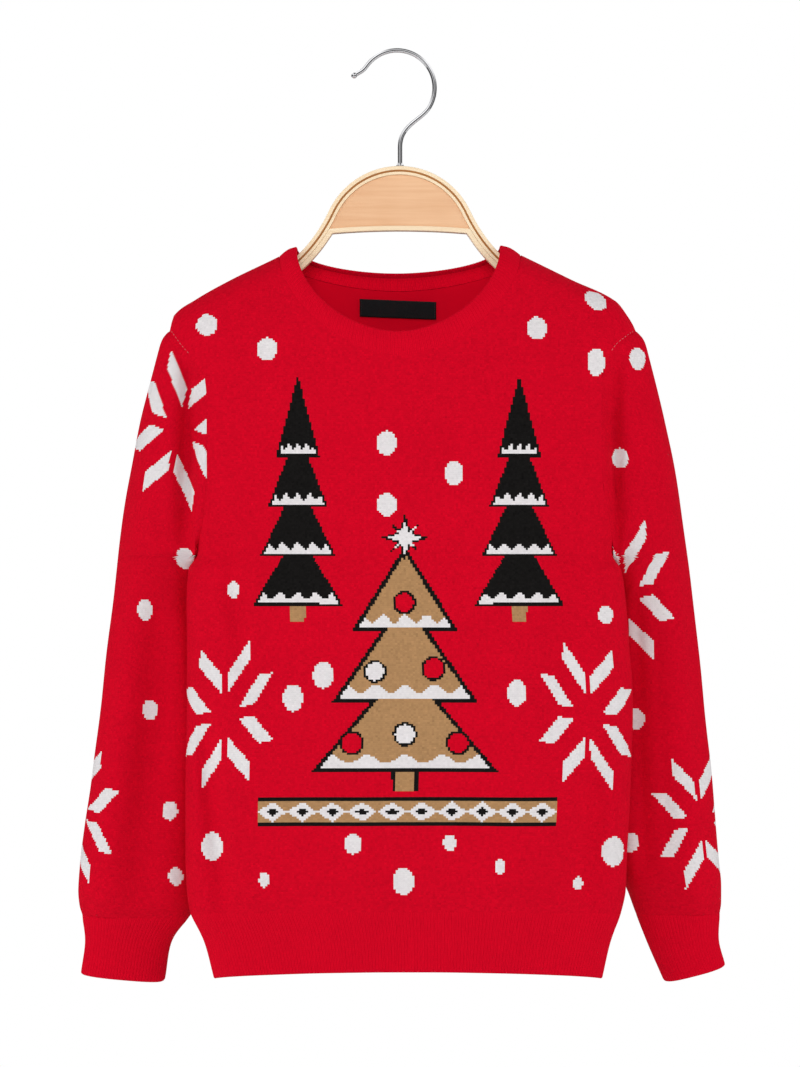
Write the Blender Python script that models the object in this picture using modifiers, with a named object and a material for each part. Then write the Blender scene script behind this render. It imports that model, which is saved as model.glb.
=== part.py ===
"""Christmas sweater on a wooden hanger.

A child's crew-neck pullover, hung on a bent laminated hanger with a steel hook.
Metres, +Z up, +X the viewer's right, -Y the front.
The origin is the inside of the top of the hook, where it rests on a rail.

Every knitted piece is a wall between an outer and an inner surface.  The outer surfaces share
the points of their seams, and so the direction in which they are thickened.  Then each piece is
drawn back a little from its seams, so it stays a solid of its own.
"""

import math

import bmesh
import bpy
import numpy as np

COLLECTION = "christmas_sweater_on_hanger"
CUTTERS = "cutters"

# ---------------------------------------------------------------- driving dimensions

SEAM_GAP = 0.0003          # between two pieces that are sewn together
WALL = 0.0022              # plain knit
NECKBAND_WALL = 0.0027     # doubled rib
RIB_WALL = 0.0024          # hem and cuffs, measured in the grooves
RIB_RAISE = 0.0008         # how far a rib stands over its groove
RIB_PITCH = 0.0023         # 1x1 rib at hem and cuffs
NECK_RIB_PITCH = 0.00245

SHOULDER_Z = -0.195        # top of the armhole, where the sleeve head starts
ARMPIT_Z = -0.352
RIB_MIDDLE_Z = -0.622      # halfway down the hem rib
HEM_Z = -0.648             # hem at the side seams
FRONT_LIFT = (0.0058, 0.0075, 0.0095)      # how much higher the front's middle is than its sides:
BACK_LIFT = (0.000, 0.001, 0.002)          # where the rib starts, halfway and at the hem

RIDGE_RADIUS = 0.015       # how roundly the cloth folds over the hanger's arms
FRONT_FILL = 0.050         # how far below the shoulder line the front has filled out
BACK_FILL = 0.060
FRONT_POWER = 2.6          # superellipse power of the front half of a section
BACK_POWER = 2.1

# Sides of the body at each height, and how deep its front and back halves are.
# Above the armpit the sides are only construction lines, wider than the panels.
BODY_COLUMNS = ("z", "left", "right", "front", "back")
BODY_ROWS = (
    (-0.130, -0.205, 0.212, 0.046, 0.050),
    (-0.195, -0.186, 0.195, 0.046, 0.050),
    (-0.216, -0.173, 0.184, 0.046, 0.050),
    (-0.245, -0.160, 0.171, 0.046, 0.050),
    (-0.300, -0.146, 0.158, 0.047, 0.051),
    (-0.352, -0.1405, 0.151, 0.047, 0.052),
    (-0.362, -0.1438, 0.1550, 0.047, 0.052),
    (-0.383, -0.1465, 0.159, 0.047, 0.052),
    (-0.411, -0.147, 0.162, 0.047, 0.052),
    (-0.453, -0.147, 0.165, 0.047, 0.052),
    (-0.523, -0.148, 0.163, 0.046, 0.051),
    (-0.558, -0.148, 0.161, 0.045, 0.050),
    (-0.585, -0.147, 0.160, 0.044, 0.048),
    (-0.602, -0.1445, 0.1565, 0.042, 0.045),
    (-0.622, -0.1345, 0.1490, 0.039, 0.042),
    (-0.648, -0.1275, 0.1430, 0.037, 0.039),
)

# Armhole seams, from the shoulder point down to the armpit.
ARMHOLE_COLUMNS = ("z", "left", "right")
ARMHOLE_ROWS = (
    (-0.195, -0.159, 0.167),
    (-0.206, -0.151, 0.153),
    (-0.216, -0.142, 0.147),
    (-0.228, -0.133, 0.142),
    (-0.247, -0.1315, 0.1415),
    (-0.300, -0.1315, 0.1425),
    (-0.327, -0.1345, 0.1475),
    (-0.352, -0.1405, 0.151),
)

# Height of the shoulder line, and of the level that it is counted from across the neck.
TOP_COLUMNS = ("x", "z")
TOP_ROWS = (
    (-0.165, -0.225),
    (-0.159, -0.195),
    (-0.156, -0.184),
    (-0.141, -0.173),
    (-0.116, -0.159),
    (-0.082, -0.1425),
    (-0.070, -0.136),
    (0.000, -0.133),
    (0.072, -0.135),
    (0.086, -0.1415),
    (0.122, -0.159),
    (0.153, -0.174),
    (0.161, -0.184),
    (0.167, -0.195),
    (0.173, -0.225),
)

# Largest folds of the body: soft troughs (positive depth) and ridges that run down it.
FOLD_COLUMNS = ("x_top", "z_top", "x_low", "z_low", "width", "depth")
FRONT_FOLDS = (
    (-0.124, -0.372, -0.119, -0.600, 0.010, 0.007),
    (-0.141, -0.400, -0.140, -0.603, 0.006, -0.003),
    (0.120, -0.345, 0.112, -0.600, 0.016, 0.005),
    (0.146, -0.500, 0.142, -0.603, 0.009, 0.005),
    (-0.060, -0.420, -0.075, -0.560, 0.030, 0.002),
)
BACK_FOLDS = (
    (-0.100, -0.360, -0.088, -0.600, 0.016, 0.006),
    (0.094, -0.340, 0.104, -0.590, 0.015, 0.007),
    (0.010, -0.300, 0.022, -0.560, 0.034, 0.003),
)

# Neck: where the band is sewn on (seam) and its free edge.
NECK_LEFT_SEAM = -0.082
NECK_RIGHT_SEAM = 0.086
NECK_LEFT_EDGE = -0.070
NECK_RIGHT_EDGE = 0.072
FRONT_SEAM_DROP = 0.0725
FRONT_EDGE_DROP = 0.0615
BACK_SEAM_DROP = 0.0225
BACK_EDGE_DROP = 0.0165
NECK_SEAM_POWER = 1.7      # superellipse powers of the two lines
NECK_EDGE_POWER = 1.85

# Sleeves, ring by ring from the armhole to the cuff.  A ring runs from an outer point on the
# sleeve's outline to an inner point at the armpit or beside the body.  bow pushes its middle
# towards the body, y is its middle plane, front and back are its half depths, and tuck is how
# much farther back its inner end lies, behind the body.
SLEEVE_COLUMNS = ("out_x", "out_z", "in_x", "in_z", "bow", "y", "front", "back", "tuck")
LEFT_SLEEVE_ROWS = (
    (-0.1658, -0.2080, -0.1445, -0.3545, 0.0080, 0.001, 0.011, 0.014, 0.000),
    (-0.1731, -0.2330, -0.1458, -0.3585, 0.0050, 0.004, 0.020, 0.022, 0.002),
    (-0.1799, -0.2570, -0.1450, -0.3640, 0.0020, 0.008, 0.026, 0.026, 0.007),
    (-0.1859, -0.2850, -0.1432, -0.3700, 0.0000, 0.013, 0.029, 0.028, 0.011),
    (-0.1914, -0.3120, -0.1420, -0.3780, 0.0000, 0.018, 0.029, 0.028, 0.011),
    (-0.1956, -0.3380, -0.1410, -0.3875, 0.0000, 0.023, 0.028, 0.028, 0.009),
    (-0.1993, -0.3640, -0.1395, -0.3990, 0.0000, 0.028, 0.027, 0.027, 0.006),
    (-0.2027, -0.3910, -0.1375, -0.4135, 0.0000, 0.032, 0.026, 0.026, 0.003),
    (-0.2065, -0.4210, -0.1360, -0.4330, 0.0000, 0.035, 0.025, 0.026, 0.001),
    (-0.2105, -0.4550, -0.1355, -0.4600, 0.0000, 0.037, 0.025, 0.026, 0.000),
    (-0.2148, -0.4880, -0.1370, -0.4890, 0.0000, 0.038, 0.025, 0.026, 0.000),
    (-0.2182, -0.5170, -0.1385, -0.5170, 0.0000, 0.038, 0.025, 0.026, 0.000),
    (-0.2222, -0.5430, -0.1400, -0.5430, 0.0000, 0.038, 0.026, 0.026, 0.000),
    (-0.2254, -0.5690, -0.1415, -0.5680, 0.0000, 0.038, 0.027, 0.026, 0.000),
    (-0.2270, -0.5910, -0.1440, -0.5890, 0.0000, 0.038, 0.026, 0.025, 0.000),
    (-0.2262, -0.6010, -0.1465, -0.6000, 0.0000, 0.038, 0.023, 0.022, 0.000),
    (-0.2242, -0.6080, -0.1495, -0.6080, 0.0000, 0.038, 0.020, 0.020, 0.000),
)
RIGHT_SLEEVE_ROWS = (
    (0.1745, -0.2080, 0.1550, -0.3545, -0.0080, 0.001, 0.011, 0.014, 0.000),
    (0.1815, -0.2330, 0.1565, -0.3585, -0.0050, 0.004, 0.020, 0.022, 0.002),
    (0.1879, -0.2570, 0.1558, -0.3640, -0.0020, 0.008, 0.026, 0.026, 0.007),
    (0.1942, -0.2850, 0.1545, -0.3700, 0.0000, 0.013, 0.029, 0.028, 0.011),
    (0.1992, -0.3120, 0.1545, -0.3780, 0.0000, 0.018, 0.029, 0.028, 0.011),
    (0.2035, -0.3380, 0.1550, -0.3875, 0.0000, 0.023, 0.028, 0.028, 0.009),
    (0.2075, -0.3640, 0.1550, -0.3990, 0.0000, 0.028, 0.027, 0.027, 0.006),
    (0.2111, -0.3910, 0.1540, -0.4135, 0.0000, 0.032, 0.026, 0.026, 0.003),
    (0.2145, -0.4210, 0.1525, -0.4330, 0.0000, 0.035, 0.025, 0.026, 0.001),
    (0.2184, -0.4550, 0.1515, -0.4600, 0.0000, 0.037, 0.025, 0.026, 0.000),
    (0.2219, -0.4880, 0.1510, -0.4890, 0.0000, 0.038, 0.025, 0.026, 0.000),
    (0.2249, -0.5170, 0.1515, -0.5170, 0.0000, 0.038, 0.025, 0.026, 0.000),
    (0.2274, -0.5430, 0.1525, -0.5430, 0.0000, 0.038, 0.026, 0.026, 0.000),
    (0.2292, -0.5680, 0.1555, -0.5640, 0.0000, 0.038, 0.026, 0.026, 0.000),
    (0.2307, -0.5870, 0.1600, -0.5810, 0.0000, 0.038, 0.025, 0.025, 0.000),
    (0.2307, -0.5990, 0.1655, -0.5940, 0.0000, 0.038, 0.022, 0.022, 0.000),
    (0.2298, -0.6070, 0.1700, -0.6050, 0.0000, 0.038, 0.019, 0.020, 0.000),
)
SLEEVE_POWER = 2.25
SLEEVE_WEIGHT = 1.5        # share of a sleeve in the seam's direction, next to 1 for a panel
SLEEVE_EVEN_FROM = 5       # from this ring on, the points are evenly spread round it

# Folds that run down the sleeves: where round the ring (degrees from the outer point, over the
# front), between which rings, how wide in degrees and how deep.
SLEEVE_FOLD_COLUMNS = ("angle", "first", "last", "width", "depth")
LEFT_SLEEVE_FOLDS = (
    (92.0, 6, 15, 17.0, 0.005),
    (60.0, 8, 17, 16.0, -0.002),
    (248.0, 4, 14, 20.0, 0.005),
)
RIGHT_SLEEVE_FOLDS = (
    (112.0, 5, 14, 17.0, 0.006),
    (70.0, 7, 17, 18.0, -0.002),
    (240.0, 5, 15, 20.0, 0.005),
)

CUFF_COLUMNS = SLEEVE_COLUMNS
LEFT_CUFF_ROWS = (
    (-0.2220, -0.6270, -0.1608, -0.6270, 0.0, 0.038, 0.018, 0.018, 0.0),
    (-0.2250, -0.6500, -0.1660, -0.6550, 0.0, 0.038, 0.018, 0.018, 0.0),
)
RIGHT_CUFF_ROWS = (
    (0.2290, -0.6260, 0.1795, -0.6300, 0.0, 0.038, 0.018, 0.018, 0.0),
    (0.2335, -0.6440, 0.1905, -0.6550, 0.0, 0.038, 0.018, 0.018, 0.0),
)

# How the grids of points are spread.
FRONT_SPREAD = (1, 0.985, 0.95, 0.91, 0.87, 0.83, 0.78, 0.73, 0.67, 0.60, 0.52, 0.42, 0.32, 0.22, 0.11)
BACK_SPREAD = (1, 0.985, 0.95, 0.91, 0.87, 0.83, 0.78, 0.70, 0.58, 0.40, 0.20)
BODY_HEIGHTS = (-0.602, -0.585, -0.560, -0.530, -0.500, -0.470, -0.440, -0.410, -0.380, -0.352)
YOKE_PULL = 0.40           # how far the slant at the neck seam reaches down the columns
YOKE_LEAN = 44.0           # degrees
SHOULDER_STEPS = (0, 0.07, 0.16, 0.30, 0.50, 0.75, 1)      # armhole to neck
SHOULDER_COLUMNS = len(SHOULDER_STEPS) - 1
YOKE_STEPS = (0, 0.07, 0.17, 0.31, 0.46, 0.62, 0.77, 0.88, 0.95, 0.982, 1)

# Neck label, sewn inside the back.
LABEL_LEFT = -0.0255
LABEL_RIGHT = 0.0265
LABEL_TOP_Z = -0.1702
LABEL_HEIGHT = 0.0123
LABEL_TILT = -0.040        # drop for each metre to the right
LABEL_THICK = 0.0006
LABEL_CLEAR = 0.0009

# Hanger: a circular crown, arms on a smooth curve down to their ends.
HANGER_X = 0.0018
HANGER_TOP_Z = -0.0798
CROWN_RADIUS = 0.0546
CROWN_HALF_ANGLE = 64.5
ARM_END_OUT = 0.147
ARM_END_DROP = 0.105
ARM_END_ANGLE = 31.0
ARM_START_PULL = 0.054
ARM_END_PULL = 0.045
BOW_THICK = 0.0060
RAIL_THICK = 0.0034
LAMINATE_GAP = 0.0003
BOW_DEPTH = 0.0092
PANEL_DEPTH = 0.0070
PANEL_DROP = 0.0416        # crown top to the middle of the panel's lower edge
PANEL_ARCH = 0.0021        # how much lower that edge is near its ends
PANEL_HALF = 0.0483

# Hook.
WIRE_RADIUS = 0.0016
HOOK_RADIUS = 0.0263       # centre line of the round part
HOOK_START = 145.0         # degrees, at the open end
HOOK_END = -30.0
TIP_X = -0.0300
TIP_Z = -0.0160
TIP_ANGLE = 212.0
TIP_RADIUS = 0.0021
STEM_X = 0.0021
STEM_TOP_Z = -0.0661
STEM_END_Z = -0.0848
COLLAR_RADIUS = 0.0027
COLLAR_HEIGHT = 0.0024
BORE_RADIUS = 0.0020


# ---------------------------------------------------------------- numbers

def columns(names, rows):
    """A table as a dictionary of arrays, one for each named column."""
    return {name: np.array([row[i] for row in rows], float) for i, name in enumerate(names)}


def smooth(at, xs, ys):
    """Shape-keeping cubic through the points (xs, ys), flat past its ends."""
    order = np.argsort(xs)
    xs, ys = np.asarray(xs, float)[order], np.asarray(ys, float)[order]
    step = np.diff(xs)
    slope = np.diff(ys) / step
    turn = slope[:-1] * slope[1:]
    total = slope[:-1] + slope[1:]
    inner = np.where(turn > 0, 2 * turn / np.where(total == 0, 1, total), 0)
    tangent = np.concatenate(([slope[0]], inner, [slope[-1]]))
    at = np.clip(np.asarray(at, float), xs[0], xs[-1])
    i = np.clip(np.searchsorted(xs, at) - 1, 0, len(xs) - 2)
    t = (at - xs[i]) / step[i]
    return ((1 + 2 * t) * (1 - t) ** 2 * ys[i] + t * (1 - t) ** 2 * step[i] * tangent[i]
            + t * t * (3 - 2 * t) * ys[i + 1] - t * t * (1 - t) * step[i] * tangent[i + 1])


def along(points, fractions):
    """Points at the given fractions of the length of a polyline."""
    length = np.concatenate(([0], np.cumsum(np.linalg.norm(np.diff(points, axis=0), axis=1))))
    return np.stack([np.interp(np.asarray(fractions) * length[-1], length, points[:, i])
                     for i in range(points.shape[1])], axis=1)


def bezier(start, start_pull, end_pull, end, steps):
    """Points on a cubic from start to end; the pulls are its two middle control points."""
    t = np.linspace(0, 1, steps + 1)[:, None]
    start, start_pull, end_pull, end = (np.array(p, float) for p in (start, start_pull, end_pull, end))
    return (start * (1 - t) ** 3 + 3 * start_pull * t * (1 - t) ** 2
            + 3 * end_pull * t * t * (1 - t) + end * t ** 3)


def direction(degrees):
    return np.array((math.cos(math.radians(degrees)), math.sin(math.radians(degrees))))


BODY = columns(BODY_COLUMNS, BODY_ROWS)
ARMHOLE = columns(ARMHOLE_COLUMNS, ARMHOLE_ROWS)
TOP = columns(TOP_COLUMNS, TOP_ROWS)


# ---------------------------------------------------------------- the body's surface

def top_height(x):
    return smooth(x, TOP["x"], TOP["z"])


def body_depth(x, z, front):
    """How far the body's outer surface is from the middle plane at (x, z)."""
    left = smooth(z, BODY["z"], BODY["left"])
    right = smooth(z, BODY["z"], BODY["right"])
    power = FRONT_POWER if front else BACK_POWER
    across = np.clip(abs(x - (left + right) / 2) / ((right - left) / 2), 0, 1)
    rounding = (1 - across ** power) ** (1 / power)
    below = np.maximum(top_height(x) - z, 0)
    ridge = np.sqrt(1 - (1 - np.clip(below / RIDGE_RADIUS, 0, 1)) ** 2)
    full = smooth(z, BODY["z"], BODY["front" if front else "back"])
    fill = FRONT_FILL if front else BACK_FILL
    depth = RIDGE_RADIUS * ridge + (full - RIDGE_RADIUS) * (1 - np.exp(-below / fill))
    folds = columns(FOLD_COLUMNS, FRONT_FOLDS if front else BACK_FOLDS)
    return (depth - fold_depth(x, z, folds)) * rounding


def fold_depth(x, z, folds):
    """Sum of the troughs and ridges at (x, z); each fades out towards its two ends."""
    total = np.zeros(np.broadcast(x, z).shape)
    for x_top, z_top, x_low, z_low, width, depth in zip(*folds.values()):
        t = (z_top - z) / (z_top - z_low)
        middle = x_top + (x_low - x_top) * t
        fade = np.clip(4 * t * (1 - t), 0, 1) ** 0.6
        total = total + depth * fade * np.exp(-((x - middle) / width) ** 2)
    return total


def on_body(x, z, front):
    x, z = np.broadcast_arrays(np.asarray(x, float), np.asarray(z, float))
    depth = body_depth(x, z, front)
    return np.stack((x, -depth if front else depth, z), axis=-1)


def neck_line(front, seam):
    """The neck in (x, z) from left to right: where the band is sewn, or its free edge."""
    left = NECK_LEFT_SEAM if seam else NECK_LEFT_EDGE
    right = NECK_RIGHT_SEAM if seam else NECK_RIGHT_EDGE
    if front:
        drop = FRONT_SEAM_DROP if seam else FRONT_EDGE_DROP
    else:
        drop = BACK_SEAM_DROP if seam else BACK_EDGE_DROP
    power = 2 / (NECK_SEAM_POWER if seam else NECK_EDGE_POWER)
    turn = np.linspace(0, math.pi, 241)
    reach = -np.sign(np.cos(turn)) * abs(np.cos(turn)) ** power
    x = (left + right) / 2 + (right - left) / 2 * reach
    start, end = top_height(left), top_height(right)
    z = start + (end - start) * (1 + reach) / 2 - drop * np.sin(turn) ** power
    return np.stack((x, z), axis=1)


def neck_fractions(count):
    """Spread along the neck line, closer together where it folds over the hanger."""
    step = np.linspace(0, 1, count + 1)
    return 0.35 * step + 0.65 * (1 - np.cos(math.pi * step)) / 2


def neck_points(front, seam, count):
    line = neck_line(front, seam)
    surface = on_body(line[:, 0], line[:, 1], front)
    return along(surface, neck_fractions(count))


# ---------------------------------------------------------------- grids of points

def spread(half):
    """Column positions from -1 to 1 out of those of one half."""
    half = np.array(half)
    return np.concatenate((-half, [0], half[::-1]))


def panel_grid(front):
    """Front or back panel, rows from the hem rib up to the shoulders and neck."""
    across = spread(FRONT_SPREAD if front else BACK_SPREAD)
    share = (across + 1) / 2
    lift = (FRONT_LIFT if front else BACK_LIFT)[0]
    lower = [body_row(share, z, lift * (ARMPIT_Z - z) / (ARMPIT_Z - BODY_HEIGHTS[0]), front)
             for z in BODY_HEIGHTS]

    neck_count = len(across) - 1 - 2 * SHOULDER_COLUMNS
    neck = neck_points(front, True, neck_count)
    top = np.concatenate((shoulder_line(-1), neck[1:-1, (0, 2)], shoulder_line(1)))
    flat = yoke(lower[-1][:, (0, 2)], top, share)
    upper = on_body(flat[..., 0], flat[..., 1], front)
    upper[-1, SHOULDER_COLUMNS:-SHOULDER_COLUMNS] = neck
    upper[-1, :SHOULDER_COLUMNS + 1, 1] = 0
    upper[-1, -SHOULDER_COLUMNS - 1:, 1] = 0
    return np.concatenate((np.array(lower[:-1]), upper))


def body_row(share, z, lift, front):
    """One row from side to side; its middle is higher than its ends by lift."""
    left, right = (smooth(z, BODY["z"], BODY[side]) for side in ("left", "right"))
    arch = np.sqrt(np.clip(4 * share * (1 - share), 0, 1))
    return on_body(left + (right - left) * share, z + lift * arch, front)


def yoke(bottom, top, share):
    """(x, z) from the armpits' level to the shoulders and neck, between the armholes.

    Columns start upwards and meet the neck seam at a slant, so the rows follow it.
    """
    length = np.linalg.norm(top - bottom, axis=1)[None, :, None]
    t = np.array(YOKE_STEPS, float)[:, None, None]
    flat = ((1 + 2 * t) * (1 - t) ** 2 * bottom + t * (1 - t) ** 2 * length * np.array((0, 1))
            + t * t * (3 - 2 * t) * top
            + t * t * (1 - t) * length * YOKE_PULL * away_from_neck(top))
    last = len(top) - 1
    for side, start, step in (("left", 0, 1), ("right", last, -1)):
        corner = start + step * SHOULDER_COLUMNS
        for k in range(SHOULDER_COLUMNS):
            column = start + step * k
            low = (share[column] - share[start]) / (share[corner] - share[start])
            reach = low + (SHOULDER_STEPS[k] - low) * t[:, 0]
            straight = armhole_line(side) * (1 - reach) + flat[:, corner] * reach
            flat[:, column] = straight + (top[column] - straight[-1]) * t[:, 0] ** 3
    return flat


def away_from_neck(top):
    """Unit directions in which the columns leave the top line, at most YOKE_LEAN from straight down."""
    slope = np.gradient(top, axis=0)
    lean = np.degrees(np.arctan2(slope[:, 1], slope[:, 0]))
    lean = YOKE_LEAN * np.tanh(lean / YOKE_LEAN)
    ramp = np.linspace(0, 1, SHOULDER_COLUMNS + 1)
    lean[:SHOULDER_COLUMNS + 1] = ramp * lean[SHOULDER_COLUMNS + 1]
    lean[-SHOULDER_COLUMNS - 1:] = ramp[::-1] * lean[-SHOULDER_COLUMNS - 2]
    return np.stack((np.sin(np.radians(lean)), -np.cos(np.radians(lean))), axis=1)


def shoulder_line(side):
    """(x, z) along one shoulder, from left to right."""
    armhole = ARMHOLE["left" if side < 0 else "right"][0]
    neck = NECK_LEFT_SEAM if side < 0 else NECK_RIGHT_SEAM
    x = np.linspace(armhole, neck, 81)
    line = along(np.stack((x, top_height(x)), axis=1), SHOULDER_STEPS)
    return line if side < 0 else line[::-1]


def armhole_line(side):
    """(x, z) up one armhole seam, at the steps of the panels' yoke."""
    z = ARMPIT_Z + (SHOULDER_Z - ARMPIT_Z) * np.array(YOKE_STEPS, float)
    return np.stack((smooth(z, ARMHOLE["z"], ARMHOLE[side]), z), axis=1)


def neckband_grid(front_panel, back_panel):
    """Rows from the seam to the free edge, once round: over the front, then the back."""
    seams = [panel[-1, SHOULDER_COLUMNS:-SHOULDER_COLUMNS] for panel in (front_panel, back_panel)]
    edges = [neck_points(front, False, len(seam) - 1) for front, seam in zip((True, False), seams)]
    seam, edge = (np.concatenate((line[0], line[1][::-1][1:])) for line in (seams, edges))
    middle = (seam + edge) / 2
    middle[:, 1] *= 1.03
    middle[:, 2] += 0.0012
    return np.array((seam, middle, edge))


def hem_grid(panel, front):
    """Rib below one panel, from the hem up to the panel's lower edge."""
    share = (spread(FRONT_SPREAD if front else BACK_SPREAD) + 1) / 2
    lifts = FRONT_LIFT if front else BACK_LIFT
    return np.array((body_row(share, HEM_Z, lifts[2], front), body_row(share, RIB_MIDDLE_Z, lifts[1], front),
                     panel[0]))


def ring(row, turns):
    """One ring of a sleeve; turns are angles from the outer point, over the front."""
    cos, sin = np.cos(turns), np.sin(turns)
    reach = np.sign(cos) * abs(cos) ** (2 / SLEEVE_POWER)
    swell = np.sign(sin) * abs(sin) ** (2 / SLEEVE_POWER)
    share = (1 + reach) / 2
    x = row["in_x"] + (row["out_x"] - row["in_x"]) * share + row["bow"] * sin * sin
    z = row["in_z"] + (row["out_z"] - row["in_z"]) * share
    y = row["y"] + row["tuck"] * (1 - share) ** 2 - np.where(swell > 0, row["front"], row["back"]) * swell
    return np.stack((x, y, z), axis=1)


def sleeve_grid(armhole, rows, folds):
    """Rings from the armhole seam, whose points are given, down to the cuff."""
    count = len(armhole) - 1
    even = np.linspace(0, 2 * math.pi, count + 1)
    half = np.arccos(2 * np.array(YOKE_STEPS[::-1], float) - 1)
    seam_turns = np.concatenate((half, 2 * math.pi - half[::-1][1:]))
    table = columns(SLEEVE_COLUMNS, rows)
    folds = columns(SLEEVE_FOLD_COLUMNS, folds)
    grid = [armhole]
    for i in range(len(rows)):
        share = min((i + 1) / SLEEVE_EVEN_FROM, 1)
        turns = seam_turns + (even - seam_turns) * share
        row = {name: values[i] for name, values in table.items()}
        points = ring(row, turns)
        middle = points[:-1].mean(axis=0)
        inward = middle - points
        inward /= np.linalg.norm(inward, axis=1)[:, None]
        grid.append(points + inward * ring_folds(i, turns, folds)[:, None])
    return np.array(grid)


def ring_folds(i, turns, folds):
    total = np.zeros(len(turns))
    for angle, first, last, width, depth in zip(*folds.values()):
        t = (i - first) / (last - first)
        fade = max(4 * t * (1 - t), 0) ** 0.6
        total += depth * fade * np.exp(-((np.degrees(turns) - angle) / width) ** 2)
    return total


def armhole_loop(front_panel, back_panel, column):
    """Seam points round one armhole: shoulder, down the front, armpit, up the back."""
    start = len(BODY_HEIGHTS) - 1
    down = front_panel[start:, column][::-1]
    up = back_panel[start:, column]
    return np.concatenate((down, up[1:]))


def cuff_grid(sleeve, rows):
    turns = np.linspace(0, 2 * math.pi, sleeve.shape[1])
    table = columns(CUFF_COLUMNS, rows)
    rings = [ring({name: values[i] for name, values in table.items()}, turns) for i in range(len(rows))]
    return np.array([sleeve[-1]] + rings)


# ---------------------------------------------------------------- walls

def shared_normals(surfaces):
    """Unit normals of several grids; points that lie on one another have one normal.

    A surface is its grid and its weight, negative where columns crossed with rows point inwards.
    """
    sums = {}
    for grid, weight in surfaces.values():
        face = np.cross(grid[1:, 1:] - grid[:-1, :-1], grid[1:, :-1] - grid[:-1, 1:])
        face *= weight / np.linalg.norm(face, axis=-1)[..., None]
        total = np.zeros(grid.shape)
        for rows in (slice(0, -1), slice(1, None)):
            for cols in (slice(0, -1), slice(1, None)):
                total[rows, cols] += face
        for point, normal in zip(grid.reshape(-1, 3), total.reshape(-1, 3)):
            key = tuple(np.round(point, 5))
            sums[key] = sums.get(key, 0) + normal
    normals = {}
    for name, (grid, _) in surfaces.items():
        found = np.array([sums[tuple(np.round(point, 5))] for point in grid.reshape(-1, 3)])
        normals[name] = (found / np.linalg.norm(found, axis=1)[:, None]).reshape(grid.shape)
    return normals


def draw_back(grid, edges):
    """Move the named edges of a grid half a seam gap towards its inside."""
    grid = grid.copy()
    pairs = {"first_row": (np.s_[0], np.s_[1]), "last_row": (np.s_[-1], np.s_[-2]),
             "first_col": (np.s_[:, 0], np.s_[:, 1]), "last_col": (np.s_[:, -1], np.s_[:, -2])}
    for edge in edges:
        at, towards = pairs[edge]
        step = grid[towards] - grid[at]
        grid[at] += step / np.linalg.norm(step, axis=-1)[..., None] * SEAM_GAP / 2
    return grid


def ribbed(grid, raised, pitch):
    """Columns of a grid filled in with ribs: grooves on the grid, ribs towards raised."""
    fine, starts = [], [0]
    middle = grid.shape[0] // 2
    for j in range(grid.shape[1] - 1):
        length = np.linalg.norm(grid[middle, j + 1] - grid[middle, j])
        count = 2 * max(round(length / pitch), 1)
        for k in range(count):
            t = k / count
            source = raised if k % 2 else grid
            fine.append(source[:, j] * (1 - t) + source[:, j + 1] * t)
        starts.append(len(fine))
    fine.append(grid[:, -1])
    return np.stack(fine, axis=1), starts


def add_wall(name, outer, inner, starts, closed, material):
    """Solid between two grids.  starts[j] is the outer column over inner column j."""
    mesh = bmesh.new()
    out, inn = (add_grid(mesh, grid, closed) for grid in (outer, inner))
    for row in (0, -1):
        for j in range(inner.shape[1] - 1):
            add_rim(mesh, out[row][starts[j]:starts[j + 1] + 1], inn[row][j], inn[row][j + 1])
    if not closed:
        for column in (0, -1):
            for i in range(len(out) - 1):
                add_quad(mesh, out[i][column], out[i + 1][column], inn[i + 1][column], inn[i][column])
    bmesh.ops.recalc_face_normals(mesh, faces=mesh.faces)
    return add_mesh(name, mesh, material)


def add_grid(mesh, grid, closed):
    """Points and faces of a grid; a closed one joins its last column to its first."""
    rows, cols = grid.shape[:2]
    points = [[mesh.verts.new(grid[i, j]) for j in range(cols - closed)] for i in range(rows)]
    for row in points:
        if closed:
            row.append(row[0])
    for low, high in zip(points[:-1], points[1:]):
        for j in range(cols - 1):
            mesh.faces.new((low[j], low[j + 1], high[j + 1], high[j]))
    return points


def add_rim(mesh, chain, first, last):
    """Rim between outer points and two inner ones: a triangle on each rib, a fan on the grooves."""
    if len(chain) == 2:
        add_quad(mesh, chain[0], chain[1], last, first)
        return
    for k in range(0, len(chain) - 2, 2):
        mesh.faces.new(chain[k:k + 3])
    grooves = chain[::2]
    half = len(grooves) // 2
    for k in range(len(grooves) - 1):
        mesh.faces.new((first if k < half else last, grooves[k], grooves[k + 1]))
    mesh.faces.new((first, grooves[half], last))


def add_quad(mesh, a, b, c, d):
    """Two triangles on the shorter diagonal, so that two rims along one seam twist alike."""
    if (a.co - c.co).length < (b.co - d.co).length:
        halves = (a, b, c), (a, c, d)
    else:
        halves = (a, b, d), (b, c, d)
    for half in halves:
        mesh.faces.new(half)


def add_mesh(name, mesh, material):
    data = bpy.data.meshes.new(name)
    mesh.to_mesh(data)
    mesh.free()
    return add_object(name, data, material)


def add_object(name, data, material):
    thing = bpy.data.objects.new(name, data)
    thing.data.materials.append(material)
    bpy.data.collections[COLLECTION].objects.link(thing)
    return thing


# ---------------------------------------------------------------- knitted pieces

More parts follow.
